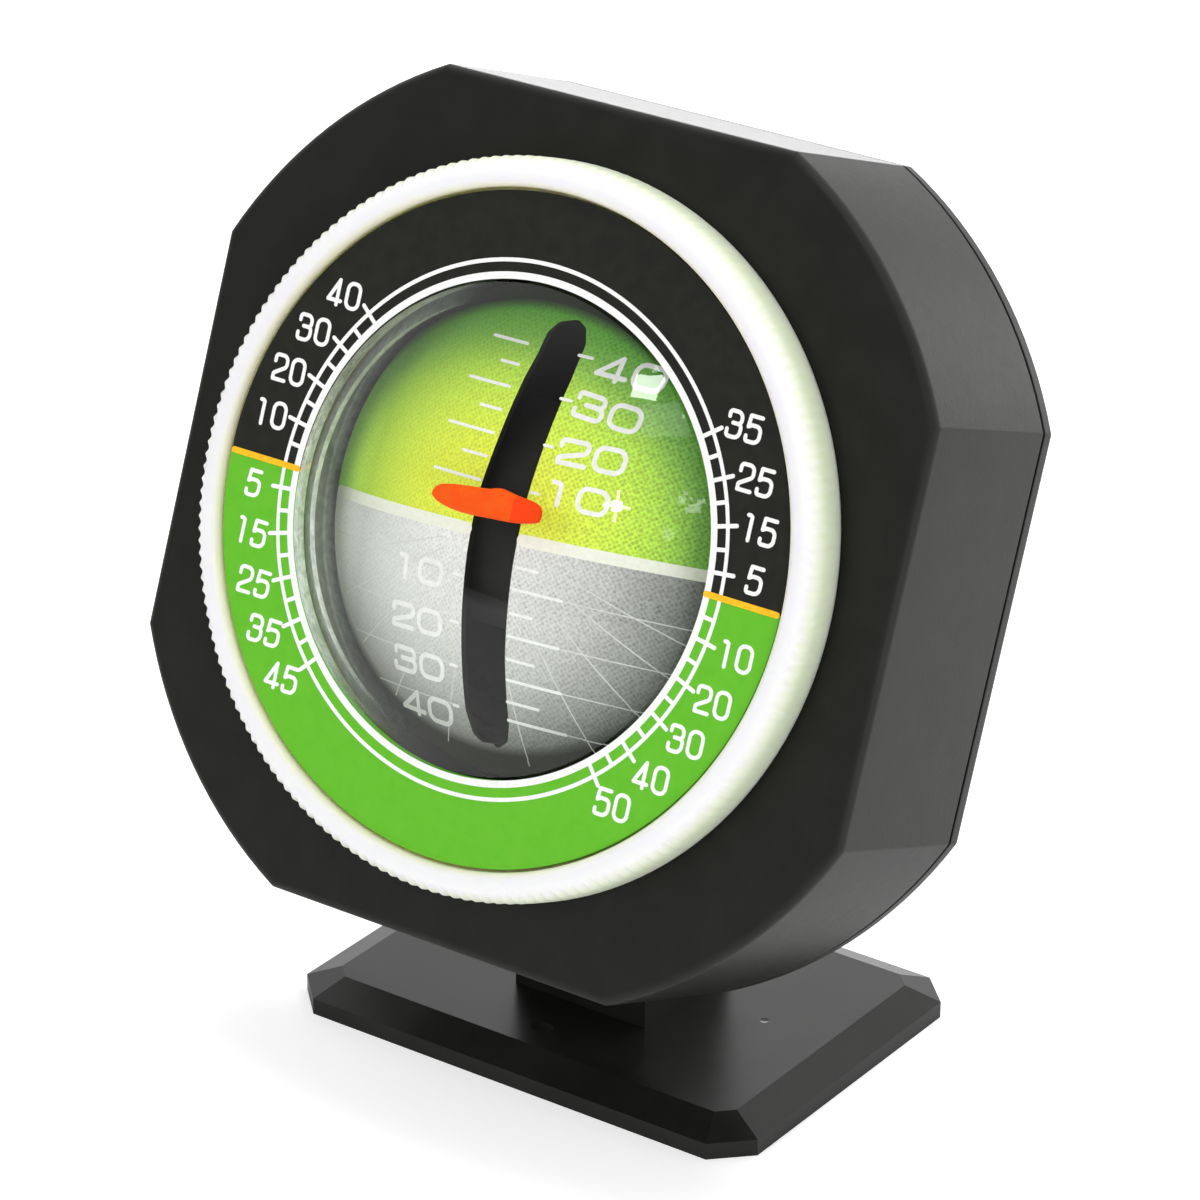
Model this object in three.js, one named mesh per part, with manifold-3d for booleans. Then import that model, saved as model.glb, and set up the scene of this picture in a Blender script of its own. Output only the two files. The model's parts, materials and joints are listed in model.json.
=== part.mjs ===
// A dashboard inclinometer: a square casing on a tilting foot, with a luminous turning ring,
// a roll dial that hangs plumb in a clear capsule, and a pitch pointer that swings in its slot.
// Millimetres. +Z is up, the dial faces -Y, and the origin is the middle of the foot's underside.
// The pieces of the casing are drawn square to the dial: x right, y back, z up, with the zero
// point on the axis of the dial, at the front face of the scale plate.

import * as THREE from "three";
import { mergeVertices } from "three/addons/utils/BufferGeometryUtils.js";
import Module from "manifold-3d";

const wasm = await Module();
wasm.setup();

// Fits, shared by all pieces
const seatGap = 0.3;
const runGap = 0.35;
const overrun = 2;
const weldDistance = 0.0001;

// Steps round a circle
const wideSteps = 48;
const smallSteps = 12;
const hingeSteps = 16;
const cornerSteps = 6;
const bevelSteps = 2;
const domeSteps = 5;
const roundSteps = 4;

// Angles of the photographed pose, in degrees
const headLean = 21.1;
const dialRoll = 1.5;
const pointerRise = 6.6;

// Foot: a bevelled plate with cut corners, over a sticky pad
const footWidth = 56.7;
const footDepth = 41.3;
const footCorner = 3.7;
const footSide = 1.8;
const footBevelHeight = 1.5;
const footBevelInset = 3.55;
const padMargin = 4.2;
const padThickness = 0.7;

// Post: stands on the plate and forks round the casing's lug
const postWidth = 16.3;
const postDepth = 15.3;
const pivotHeight = 17.3;
const lugWidth = 6.4;
const lugRadius = 6.5;
const forkFloorGap = 0.8;

// Tilt screw, washer and nut
const tiltShank = 1.5;
const tiltHead = 2.9;
const tiltHeadHeight = 1.7;
const tiltWasher = 3.2;
const tiltWasherThickness = 0.5;
const tiltNut = 3.2;
const tiltNutThickness = 2.4;

// Casing
const headSize = 84;
const cornerProud = 4.7;
const headDepth = 23.4;
const faceSetback = 4.5;
const edgeRound = 1;
const casingWall = 2;
const coverThickness = 2;
const partingGap = 0.3;
const coverRim = 1.2;
const coverRimDepth = 1.5;
const pivotBehind = 8.6;
const pivotAboveBottom = 7.8;
const lugFootLow = 2;
const lugFootHigh = 18;

// Cover screws, one in each corner
const coverScrewInset = 5.7;
const coverBoss = 2.7;
const coverScrewShank = 1.1;
const coverScrewHead = 2;
const coverScrewHeadHeight = 1.2;
const coverScrewLength = 11;
const coverScrewSink = 1.8;

// Luminous ring, with its knurl and its skirt
const faceMargin = 5.9;
const ringWidth = 3.1;
const ringProud = 0.85;
const ringRound = 1.9;
const ringLip = 0.3;
const toothCount = 180;
const toothDepth = 0.3;
const ledgeWidth = 3.1;
const skirtStep = 1.3;
const grooveDepth = 0.9;
const skirtLip = 0.9;
const retainerWidth = 2.7;
const retainerThickness = 1;
const retainerSplit = 5;

// Scale plate
const plateWidth = 8.55;
const plateThickness = 1;

// Capsule: dome, neck and body, closed at the back by a bowl
const domeWall = 1.5;
const domeRimProud = 0.3;
const capsuleClearance = 2.9;
const capsuleWall = 1.6;
const flareLength = 2.4;
const flangeClearance = 0.95;
const flangeThickness = 1.6;
const flangeWidth = 2.5;
const gasketThickness = 0.6;
const bowlWall = 1.3;
const earRadius = 2.6;
const capsuleScrewShank = 1.1;
const capsuleScrewHead = 2.1;
const capsuleScrewHeadHeight = 1.5;
const plugShank = 1.5;
const plugHead = 2.6;
const plugHeadHeight = 1.4;

// Roll dial: a domed cap on a frame that turns on one pin at the back
const capClearance = 1.2;
const capRise = 7.45;
const capThickness = 0.8;
const capProud = 0.3;
const slotWidth = 5.7;
const slotTopMargin = 3.4;
const slotBottomMargin = 2.5;
const frameRingWidth = 3.3;
const frameRingInset = 0.3;
const frameThickness = 1.8;
const cheekOffset = 10.2;
const cheekThickness = 1.6;
const cheekReach = 2.6;
const stemWidth = 5;
const stemThickness = 1.6;
const rollPinRadius = 0.7;
const bearingRadius = 1.9;
const bearingLength = 1.5;
const bearingBoss = 3;
const bearingBossHeight = 1;
const rollWeightWidth = 5.6;
const rollWeightThickness = 3;
const rollWeightSpan = 110;

// Pitch pointer: hub, arm, band and bar on an axle across the frame
const axleRadius = 0.6;
const hubRadius = 2.2;
const bandClearance = 1.2;
const bandThickness = 0.8;
const bandWidth = 7;
const bandSpan = 84;
const spokeThickness = 1.5;
const spokeWidth = 1.6;
const armWidth = 3;
const barProud = 3.7;
const barClearance = 1.8;
const barThickness = 1.2;
const barLength = 13;
const barHeight = 2.3;
const barPeak = 0.9;
const lobeGap = 0.7;
const lobeReach = 5.6;
const lobeFloorGap = 0.6;
const lobeSpan = 100;
const lobeLean = 57;

// Places worked out from the sizes above
const lean = THREE.MathUtils.degToRad(headLean);
const backFace = faceSetback + headDepth;
const coverFront = backFace - coverThickness;
const wallBack = faceSetback + casingWall;
const headCorner = headSize / 2 + cornerProud;
const coverScrewCircle = headCorner - coverScrewInset;
const pivotY = backFace + pivotBehind;
const pivotZ = pivotAboveBottom - headSize / 2;
const plateTop = footSide + footBevelHeight;
const padWidth = footWidth - 2 * padMargin;
const padDepth = footDepth - 2 * padMargin;
const postTopRadius = postDepth / 2;
const forkGap = lugWidth / 2 + seatGap;
const screwCircle = headSize / 2 - casingWall - seatGap - earRadius;
const ringTip = headSize / 2 - faceMargin;
const ringInner = ringTip - ringWidth;
const skirtRadius = ringInner - skirtStep;
const plateBore = ringInner - seatGap - plateWidth;
const retainerFront = wallBack + runGap;
const retainerInner = skirtRadius - grooveDepth + seatGap;
const openingRadius = skirtRadius + runGap;
const grooveFront = retainerFront - seatGap;
const grooveBack = retainerFront + retainerThickness + seatGap;
const skirtBack = grooveBack + skirtLip;
const capsuleRadius = ringInner - ledgeWidth - capsuleClearance;
const capsuleInner = capsuleRadius - capsuleWall;
const flangeRadius = capsuleRadius + flangeWidth;
const flangeFront = skirtBack + flangeClearance;
const flangeBack = flangeFront + flangeThickness;
const gasketFront = flangeBack + seatGap;
const bowlFront = gasketFront + gasketThickness + seatGap;
const bowlFlangeBack = bowlFront + flangeThickness;
const bowlBack = coverFront - seatGap;
const bowlFloor = bowlBack - bowlWall;
const plugPlace = (bowlFlangeBack + bowlBack - capsuleWall) / 2;
const domeRim = plateBore - seatGap;
const domeRise = barProud + barThickness + barClearance + domeWall - domeRimProud;
const domeRadius = (domeRim ** 2 + domeRise ** 2) / 2 / domeRise;
const domeCentre = Math.sqrt(domeRadius ** 2 - domeRim ** 2) - domeRimProud;
const capRim = capsuleInner - capClearance;
const capRadius = (capRim ** 2 + capRise ** 2) / 2 / capRise;
const capCentre = capRadius - capProud;
const slotTop = capRim - slotTopMargin;
const slotBottom = capRim - slotBottomMargin;
const axlePlace = bowlFloor - lobeFloorGap - lobeReach;
const bandRadius = axlePlace - bandClearance;
const barSeat = axlePlace + barProud;
const lobeInner = stemWidth / 2 + 3 * seatGap;
const lobeOuter = cheekOffset - lobeGap;

const shell = { color: 0x262722, roughness: 0.55, metalness: 0 };
const clear = { color: 0xdfe8dc, roughness: 0.05, metalness: 0, transparent: true, opacity: 0.35 };
const steel = { color: 0xb9bcc0, roughness: 0.35, metalness: 1 };
const brass = { color: 0xc8a860, roughness: 0.35, metalness: 1 };

const part = new THREE.Group();

// Turns a closed three.js geometry into a solid that can be cut and joined
function solid(geometry) {
  const bare = geometry.clone();
  bare.deleteAttribute("normal");
  bare.deleteAttribute("uv");
  const merged = mergeVertices(bare, weldDistance);
  const corners = merged.index.array;
  const triangles = [];
  for (let i = 0; i < corners.length; i += 3) {
    const [a, b, c] = [corners[i], corners[i + 1], corners[i + 2]];
    if (a !== b && b !== c && c !== a) {
      triangles.push(a, b, c);
    }
  }
  return new wasm.Manifold(new wasm.Mesh({
    numProp: 3,
    vertProperties: new Float32Array(merged.attributes.position.array),
    triVerts: new Uint32Array(triangles),
  }));
}

// Adds a finished solid to a group as one named piece
function add(group, name, body, material) {
  const mesh = body.getMesh();
  const geometry = new THREE.BufferGeometry();
  geometry.setAttribute("position", new THREE.BufferAttribute(mesh.vertProperties, mesh.numProp));
  geometry.setIndex(new THREE.BufferAttribute(mesh.triVerts, 1));
  geometry.computeVertexNormals();
  const piece = new THREE.Mesh(geometry, new THREE.MeshStandardMaterial(material));
  piece.name = name;
  group.add(piece);
}

// A body of revolution about the Y axis, from points [radius, y] in either direction
function turned(points) {
  const profile = points.map(([radius, y]) => new THREE.Vector2(radius, y));
  if (THREE.ShapeUtils.area(profile) < 0) {
    profile.reverse();
  }
  if (points[0][0] > 0) {
    profile.push(profile[0].clone());
  }
  return solid(new THREE.LatheGeometry(profile, wideSteps));
}

// Points [radius, y] on a sphere that bulges to -Y, from one radius to another
function domeArc(radius, centre, from, to, steps) {
  const start = Math.asin(from / radius);
  const end = Math.asin(to / radius);
  const points = [];
  for (let i = 0; i <= steps; i += 1) {
    const angle = start + (end - start) * i / steps;
    points.push([radius * Math.sin(angle), centre - radius * Math.cos(angle)]);
  }
  return points;
}

// A shape drawn in x and z, extruded along Y
function alongY(shape, from, to) {
  const geometry = new THREE.ExtrudeGeometry(shape, {
    depth: to - from,
    bevelEnabled: false,
    curveSegments: cornerSteps,
  });
  return solid(geometry.rotateX(Math.PI / 2).translate(0, to, 0));
}

// A shape drawn in y and z, extruded along X
function alongX(shape, from, to, steps = smallSteps) {
  const geometry = new THREE.ExtrudeGeometry(shape, {
    depth: to - from,
    bevelEnabled: false,
    curveSegments: steps,
  });
  const turn = new THREE.Matrix4().makeBasis(
    new THREE.Vector3(0, 1, 0),
    new THREE.Vector3(0, 0, 1),
    new THREE.Vector3(1, 0, 0),
  );
  return solid(geometry.applyMatrix4(turn).translate(from, 0, 0));
}

function rodY(radius, from, to, x = 0, z = 0, steps = smallSteps) {
  const geometry = new THREE.CylinderGeometry(radius, radius, to - from, steps);
  return solid(geometry.translate(x, (from + to) / 2, z));
}

function rodX(radius, from, to, y = 0, z = 0, steps = smallSteps) {
  const geometry = new THREE.CylinderGeometry(radius, radius, to - from, steps);
  return solid(geometry.rotateZ(Math.PI / 2).translate((from + to) / 2, y, z));
}

function block(x0, x1, y0, y1, z0, z1) {
  const geometry = new THREE.BoxGeometry(x1 - x0, y1 - y0, z1 - z0);
  return solid(geometry.translate((x0 + x1) / 2, (y0 + y1) / 2, (z0 + z1) / 2));
}

function joined(bodies) {
  return bodies.reduce((whole, body) => whole.add(body));
}

// The casing's outline, drawn inset from the outside: a square whose corners are cut by a circle
function casingOutline(inset) {
  const half = headSize / 2 - inset;
  const radius = headCorner - inset;
  const turn = Math.acos(half / radius);
  const shape = new THREE.Shape();
  for (let side = 0; side < 4; side += 1) {
    const start = side * Math.PI / 2;
    shape.absarc(0, 0, radius, start + turn, start + Math.PI / 2 - turn, false);
  }
  shape.closePath();
  return shape;
}

// The full casing block with both of its face edges rounded
function casingBlock() {
  const geometry = new THREE.ExtrudeGeometry(casingOutline(0), {
    depth: headDepth - 2 * edgeRound,
    bevelThickness: edgeRound,
    bevelSize: edgeRound,
    bevelOffset: -edgeRound,
    bevelSegments: bevelSteps,
    curveSegments: cornerSteps,
  });
  return solid(geometry.rotateX(Math.PI / 2).translate(0, backFace - edgeRound, 0));
}

// Four like places on the axes of the casing, or on its diagonals, as [x, z]
function four(radius, turn) {
  return [0, 1, 2, 3].map((quarter) => {
    const angle = turn + quarter * Math.PI / 2;
    return [radius * Math.cos(angle), radius * Math.sin(angle)];
  });
}

const earPlaces = four(screwCircle, 0);
const cornerPlaces = four(coverScrewCircle, Math.PI / 4);

// Foot plate and forked post, one moulding
function standBase() {
  const outline = new THREE.Shape();
  const x = footWidth / 2;
  const y = footDepth / 2;
  outline.moveTo(-x + footCorner, -y);
  outline.lineTo(x - footCorner, -y);
  outline.lineTo(x, -y + footCorner);
  outline.lineTo(x, y - footCorner);
  outline.lineTo(x - footCorner, y);
  outline.lineTo(-x + footCorner, y);
  outline.lineTo(-x, y - footCorner);
  outline.lineTo(-x, -y + footCorner);
  outline.closePath();
  const plate = solid(new THREE.ExtrudeGeometry(outline, {
    depth: footSide,
    bevelThickness: footBevelHeight,
    bevelSize: footBevelInset,
    bevelOffset: -footBevelInset,
    bevelSegments: 1,
  }));
  const underside = solid(new THREE.ExtrudeGeometry(outline, { depth: footSide, bevelEnabled: false }));
  const upper = block(-footWidth, footWidth, -footDepth, footDepth, 0, plateTop);
  const profile = new THREE.Shape();
  profile.moveTo(-postTopRadius, footSide);
  profile.lineTo(postTopRadius, footSide);
  profile.absarc(0, pivotHeight, postTopRadius, 0, Math.PI, false);
  profile.closePath();
  const post = alongX(profile, -postWidth / 2, postWidth / 2, hingeSteps);
  const forkFloor = pivotHeight - lugRadius - forkFloorGap;
  const slot = block(-forkGap, forkGap, -footDepth, footDepth, forkFloor, 2 * pivotHeight);
  const padRecess = block(
    -padWidth / 2 - seatGap, padWidth / 2 + seatGap,
    -padDepth / 2 - seatGap, padDepth / 2 + seatGap,
    -overrun, padThickness + seatGap,
  );
  const hole = rodX(tiltShank + seatGap, -footWidth, footWidth, 0, pivotHeight);
  const headDepthIn = tiltHeadHeight + tiltWasherThickness + 2 * seatGap;
  const headRecess = rodX(tiltWasher + seatGap, postWidth / 2 - headDepthIn, footWidth, 0, pivotHeight);
  const nutDepthIn = tiltNutThickness + seatGap;
  const nutRecess = rodX(tiltNut + seatGap, -footWidth, nutDepthIn - postWidth / 2, 0, pivotHeight, 6);
  return plate.intersect(upper).add(underside).add(post.subtract(slot))
    .subtract(padRecess).subtract(hole).subtract(headRecess).subtract(nutRecess);
}

add(part, "stand_base", standBase(), shell);

// Sticky foam pad, let into the underside of the foot
const pad = block(-padWidth / 2, padWidth / 2, -padDepth / 2, padDepth / 2, 0, padThickness);
add(part, "adhesive_pad", pad, { color: 0x2b2b2b, roughness: 0.95, metalness: 0 });

// Screw, washer and nut that clamp the fork on the lug
const washerFace = postWidth / 2 - tiltHeadHeight - seatGap;
const nutFace = tiltNutThickness - postWidth / 2;
const tiltScrew = rodX(tiltShank, -postWidth / 2, washerFace, 0, pivotHeight)
  .add(rodX(tiltHead, washerFace, washerFace + tiltHeadHeight, 0, pivotHeight))
  .subtract(block(
    washerFace + tiltHeadHeight / 2, footWidth,
    -tiltHead, tiltHead,
    pivotHeight - tiltHead / 8, pivotHeight + tiltHead / 8,
  ));
add(part, "tilt_screw", tiltScrew, steel);
const washerBack = washerFace - seatGap / 3;
const washer = rodX(tiltWasher, washerBack - tiltWasherThickness, washerBack, 0, pivotHeight)
  .subtract(rodX(tiltShank + seatGap, -footWidth, footWidth, 0, pivotHeight));
add(part, "tilt_washer", washer, steel);
const nut = rodX(tiltNut, -postWidth / 2, nutFace, 0, pivotHeight, 6)
  .subtract(rodX(tiltShank + seatGap, -footWidth, footWidth, 0, pivotHeight));
add(part, "tilt_nut", nut, steel);

// The casing group leans back about the tilt screw
const tilting = new THREE.Group();
tilting.position.set(0, 0, pivotHeight);
tilting.rotation.x = -lean;
part.add(tilting);
const head = new THREE.Group();
head.position.set(0, -pivotY, -pivotZ);
tilting.add(head);

// Front casing: an open-backed box with a round mouth for the ring, and eight screw bosses
function frontHousing() {
  const back = coverFront - partingGap;
  const outside = casingBlock().intersect(
    block(-headSize, headSize, 0, back, -headSize, headSize),
  );
  const inside = alongY(casingOutline(casingWall), wallBack, backFace + overrun);
  const mouth = rodY(openingRadius, 0, wallBack + overrun, 0, 0, wideSteps);
  const bosses = [];
  const holes = [mouth];
  for (const [x, z] of earPlaces) {
    bosses.push(rodY(earRadius, wallBack - casingWall / 2, flangeFront - seatGap, x, z));
    holes.push(rodY(capsuleScrewShank + seatGap, wallBack, flangeFront, x, z));
  }
  const cornerBossBack = coverFront - coverRimDepth - seatGap;
  for (const [x, z] of cornerPlaces) {
    bosses.push(rodY(coverBoss, wallBack - casingWall / 2, cornerBossBack, x, z));
    holes.push(rodY(coverScrewShank + seatGap, wallBack, cornerBossBack + overrun, x, z));
  }
  return outside.subtract(inside).add(joined(bosses)).subtract(joined(holes));
}

add(head, "front_housing", frontHousing(), shell);

// Rear cover: a plate with a rim that enters the casing, and the lug that the fork clamps
function rearCover() {
  const reach = headSize;
  const plate = casingBlock().intersect(block(-reach, reach, coverFront, backFace, -reach, reach));
  const rimFront = coverFront - coverRimDepth;
  const rim = alongY(casingOutline(casingWall + seatGap), rimFront, coverFront)
    .subtract(alongY(casingOutline(casingWall + seatGap + coverRim), rimFront - overrun, coverFront));
  const pads = cornerPlaces.map(([x, z]) => rodY(coverBoss, rimFront, coverFront, x, z));
  const padsInside = joined(pads).intersect(
    alongY(casingOutline(casingWall + seatGap), rimFront, coverFront),
  );
  const bottom = -headSize / 2;
  const side = new THREE.Shape();
  side.moveTo(backFace - coverThickness / 2, bottom + lugFootLow);
  side.lineTo(backFace, bottom + lugFootLow);
  side.absarc(pivotY, pivotZ, lugRadius, -Math.PI / 2 - lean / 2, Math.PI / 2 - lean, false);
  side.lineTo(backFace, bottom + lugFootHigh);
  side.lineTo(backFace - coverThickness / 2, bottom + lugFootHigh);
  side.closePath();
  const lug = alongX(side, -lugWidth / 2, lugWidth / 2, hingeSteps)
    .subtract(rodX(tiltShank + seatGap, -headSize, headSize, pivotY, pivotZ));
  const holes = cornerPlaces.flatMap(([x, z]) => [
    rodY(coverScrewShank + seatGap, rimFront - overrun, backFace, x, z),
    rodY(coverScrewHead + seatGap, backFace - coverScrewSink, backFace + overrun, x, z),
  ]);
  return plate.add(rim).add(padsInside).add(lug).subtract(joined(holes));
}

add(head, "rear_cover", rearCover(), shell);

// A pan-head screw, driven in from the back
function screwFromBack(x, z, seat, shank, headRadius, headHeight, length) {
  return rodY(shank, seat - length, seat, x, z, cornerSteps)
    .add(rodY(headRadius, seat, seat + headHeight, x, z));
}

const coverSeat = backFace - coverScrewSink + seatGap;
cornerPlaces.forEach(([x, z], number) => {
  add(head, `cover_screw_${number + 1}`, screwFromBack(
    x, z, coverSeat, coverScrewShank, coverScrewHead, coverScrewHeadHeight, coverScrewLength,
  ), steel);
});

// Ears for the capsule screws, as a cross of four round-ended arms
function ears(front, back) {
  const arms = earPlaces.map(([x, z]) => {
    const reach = Math.hypot(x, z);
    const arm = block(capsuleRadius, reach, front, back, -earRadius, earRadius)
      .add(rodY(earRadius, front, back, reach, 0));
    const turn = -THREE.MathUtils.radToDeg(Math.atan2(z, x));
    return arm.rotate([0, turn, 0]);
  });
  const holes = earPlaces.map(([x, z]) => rodY(capsuleScrewShank + seatGap, front - overrun, back + overrun, x, z));
  return { arms: joined(arms), holes: joined(holes) };
}

// Clear front half of the capsule: dome, narrow neck inside the scale plate, then the body
function capsuleLens() {
  const innerRadius = domeRadius - domeWall;
  const neckInner = domeRim - domeWall;
  const shoulder = plateThickness + runGap + seatGap / 2;
  const neckBack = domeCentre - Math.sqrt(innerRadius ** 2 - neckInner ** 2);
  const lens = turned([
    ...domeArc(innerRadius, domeCentre, 0, neckInner, domeSteps),
    [neckInner, neckBack + domeWall / 2],
    [capsuleInner, neckBack + domeWall / 2 + flareLength],
    [capsuleInner, flangeBack],
    [flangeRadius, flangeBack],
    [flangeRadius, flangeFront],
    [capsuleRadius, flangeFront],
    [capsuleRadius, shoulder + capsuleWall / 2],
    [capsuleRadius - capsuleWall / 2, shoulder],
    [domeRim, shoulder],
    ...domeArc(domeRadius, domeCentre, domeRim, 0, domeSteps),
  ]);
  const { arms, holes } = ears(flangeFront, flangeBack);
  return lens.add(arms).subtract(holes);
}

add(head, "capsule_lens", capsuleLens(), clear);

// Flat seal between the two halves of the capsule
const gasketBack = gasketFront + gasketThickness;
const gasket = turned([
  [capsuleInner + seatGap, gasketFront],
  [capsuleInner + seatGap, gasketBack],
  [flangeRadius - seatGap, gasketBack],
  [flangeRadius - seatGap, gasketFront],
]);
add(head, "capsule_gasket", gasket, { color: 0x1b1b1b, roughness: 0.9, metalness: 0 });

// Back half of the capsule, with the blind boss that takes the roll bearing
function capsuleBowl() {
  const bossFront = bowlFloor - bearingBossHeight;
  const bowl = turned([
    [0, bossFront],
    [bearingBoss, bossFront],
    [bearingBoss, bowlFloor],
    [capsuleInner - capsuleWall, bowlFloor],
    [capsuleInner, bowlFloor - capsuleWall],
    [capsuleInner, bowlFront],
    [flangeRadius, bowlFront],
    [flangeRadius, bowlFlangeBack],
    [capsuleRadius, bowlFlangeBack],
    [capsuleRadius, bowlBack - capsuleWall],
    [capsuleRadius - capsuleWall, bowlBack],
    [0, bowlBack],
  ]);
  const { arms, holes } = ears(bowlFront, bowlFlangeBack);
  const socket = rodY(bearingRadius + seatGap, bossFront - overrun, bossFront + bearingLength + seatGap);
  const fill = solid(new THREE.CylinderGeometry(
    plugShank + seatGap, plugShank + seatGap, capsuleRadius, smallSteps,
  ).rotateX(Math.PI / 2).translate(0, plugPlace, capsuleRadius));
  return bowl.add(arms).subtract(holes).subtract(socket).subtract(fill);
}

add(head, "capsule_bowl", capsuleBowl(), { color: 0xd5d8d2, roughness: 0.4, metalness: 0 });

// Screws that clamp the capsule together and onto the casing's bosses
const earSeat = bowlFlangeBack + seatGap;
const earScrewLength = earSeat - wallBack - seatGap;
earPlaces.forEach(([x, z], number) => {
  add(head, `capsule_screw_${number + 1}`, screwFromBack(
    x, z, earSeat, capsuleScrewShank, capsuleScrewHead, capsuleScrewHeadHeight, earScrewLength,
  ), steel);
});

// Plug of the filling hole, on top of the bowl
function fillerPlug() {
  const shank = new THREE.CylinderGeometry(plugShank, plugShank, capsuleWall, smallSteps)
    .rotateX(Math.PI / 2)
    .translate(0, plugPlace, capsuleInner + capsuleWall / 2 + seatGap);
  const top = new THREE.CylinderGeometry(plugHead, plugHead, plugHeadHeight, smallSteps)
    .rotateX(Math.PI / 2)
    .translate(0, plugPlace, capsuleRadius + seatGap + plugHeadHeight / 2);
  return solid(shank).add(solid(top));
}

add(head, "filler_plug", fillerPlug(), { color: 0x2a2a2a, roughness: 0.6, metalness: 0 });

// Bush in the blind boss, which the roll pin turns in
const bearingFront = bowlFloor - bearingBossHeight;
const bearing = rodY(bearingRadius, bearingFront, bearingFront + bearingLength)
  .subtract(rodY(rollPinRadius + seatGap, bearingFront - overrun, bearingFront + 2 * overrun));
add(head, "roll_bearing", bearing, brass);

// Luminous ring: rounded bezel with a fine knurl, a ledge for the scale plate, and a skirt that
// passes through the casing's mouth and is grooved for the retainer
function luminousRing() {
  const root = ringTip - toothDepth;
  const core = root - toothDepth / 2;
  const front = -ringProud;
  const back = faceSetback - runGap;
  const rounded = [];
  for (let i = 0; i <= roundSteps; i += 1) {
    const angle = Math.PI / 2 * i / roundSteps;
    rounded.push([
      core - ringRound + ringRound * Math.sin(angle),
      front + ringRound - ringRound * Math.cos(angle),
    ]);
  }
  const plain = turned([
    ...rounded,
    [core, back],
    [skirtRadius, back],
    [skirtRadius, grooveFront],
    [skirtRadius - grooveDepth, grooveFront],
    [skirtRadius - grooveDepth, grooveBack],
    [skirtRadius, grooveBack],
    [skirtRadius, skirtBack],
    [ringInner - ledgeWidth, skirtBack],
    [ringInner - ledgeWidth, plateThickness + seatGap],
    [ringInner, plateThickness + seatGap],
    [ringInner, front + ringLip],
    [ringInner + ringLip, front],
  ]);
  const hollow = new THREE.Path();
  hollow.absarc(0, 0, root - ringRound, 0, 2 * Math.PI, true);
  const teeth = [];
  for (let i = 0; i < 2 * toothCount; i += 1) {
    const radius = i % 2 ? ringTip : root;
    const angle = Math.PI * i / toothCount;
    teeth.push(new THREE.Vector2(radius * Math.cos(angle), radius * Math.sin(angle)));
  }
  const star = new THREE.Shape(teeth);
  star.holes.push(hollow);
  const knurl = alongY(star, front + ringRound - toothDepth, back - toothDepth);
  return plain.add(knurl);
}

const ringGroup = new THREE.Group();
head.add(ringGroup);
add(ringGroup, "luminous_ring", luminousRing(), { color: 0xe6efcf, roughness: 0.5, metalness: 0 });

// Scale plate: flat ring, printed black above and green below
const plate = turned([
  [plateBore, 0],
  [plateBore, plateThickness],
  [ringInner - seatGap, plateThickness],
  [ringInner - seatGap, 0],
]);
add(ringGroup, "scale_plate", plate, { color: 0x66c22c, roughness: 0.6, metalness: 0 });

// Split ring that snaps into the skirt's groove behind the casing's front wall
const retainer = turned([
  [retainerInner, retainerFront],
  [retainerInner, retainerFront + retainerThickness],
  [retainerInner + retainerWidth, retainerFront + retainerThickness],
  [retainerInner + retainerWidth, retainerFront],
]).subtract(block(-retainerSplit / 2, retainerSplit / 2, 0, backFace, 0, headSize));
add(ringGroup, "ring_retainer", retainer, steel);

// Everything that rolls hangs in this group
const dial = new THREE.Group();
dial.rotation.y = -THREE.MathUtils.degToRad(dialRoll);
head.add(dial);

// Domed cap of the dial, with the slot that the pointer's arm swings in
function dialCap() {
  const inner = capRadius - capThickness;
  const cap = turned([
    ...domeArc(inner, capCentre, 0, capRim, domeSteps),
    ...domeArc(capRadius, capCentre, capRim, 0, domeSteps),
  ]);
  const half = slotWidth / 2;
  const slot = new THREE.Shape();
  slot.absarc(0, slotTop - half, half, 0, Math.PI, false);
  slot.absarc(0, half - slotBottom, half, Math.PI, 2 * Math.PI, false);
  slot.closePath();
  return cap.subtract(alongY(slot, -capRim, capRim));
}

add(dial, "dial_cap", dialCap(), { color: 0x7fb83a, roughness: 0.5, metalness: 0 });

// Frame behind the cap: ring, two cheeks for the pointer's axle, and a stem to the roll pin
const frameFront = capCentre - Math.sqrt((capRadius - capThickness) ** 2 - capRim ** 2) + seatGap;
const frameBack = frameFront + frameThickness;
const frameOuter = capRim - frameRingInset;
const frameInner = frameOuter - frameRingWidth;
const stemBack = bowlFloor - bearingBossHeight - seatGap;
const stemFront = stemBack - stemThickness;

function dialFrame() {
  const ring = turned([
    [frameInner, frameFront],
    [frameInner, frameBack],
    [frameOuter, frameBack],
    [frameOuter, frameFront],
  ]);
  const cheeks = [-1, 1].map((side) => {
    const near = side * cheekOffset;
    const far = side * (cheekOffset + cheekThickness);
    const outer = side * (frameInner + frameRingWidth / 2);
    const [x0, x1] = [Math.min(near, far), Math.max(near, far)];
    const [s0, s1] = [Math.min(near, outer), Math.max(near, outer)];
    return block(x0, x1, frameFront, axlePlace, -cheekReach, cheekReach)
      .add(rodX(cheekReach, x0, x1, axlePlace, 0))
      .add(block(s0, s1, frameFront, frameBack, -cheekReach, cheekReach));
  });
  const top = frameInner + frameRingWidth / 2;
  const half = stemWidth / 2;
  const stem = block(-half, half, frameFront, stemBack, frameInner, top)
    .add(block(-half, half, stemFront, stemBack, 0, top))
    .add(rodY(half, stemFront, stemBack));
  return ring.add(cheeks[0]).add(cheeks[1]).add(stem)
    .subtract(rodX(axleRadius + seatGap, -capRim, capRim, axlePlace, 0))
    .subtract(rodY(rollPinRadius + seatGap, stemFront - overrun, stemBack + overrun));
}

add(dial, "dial_frame", dialFrame(), { color: 0x3a3a38, roughness: 0.6, metalness: 0 });

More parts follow.
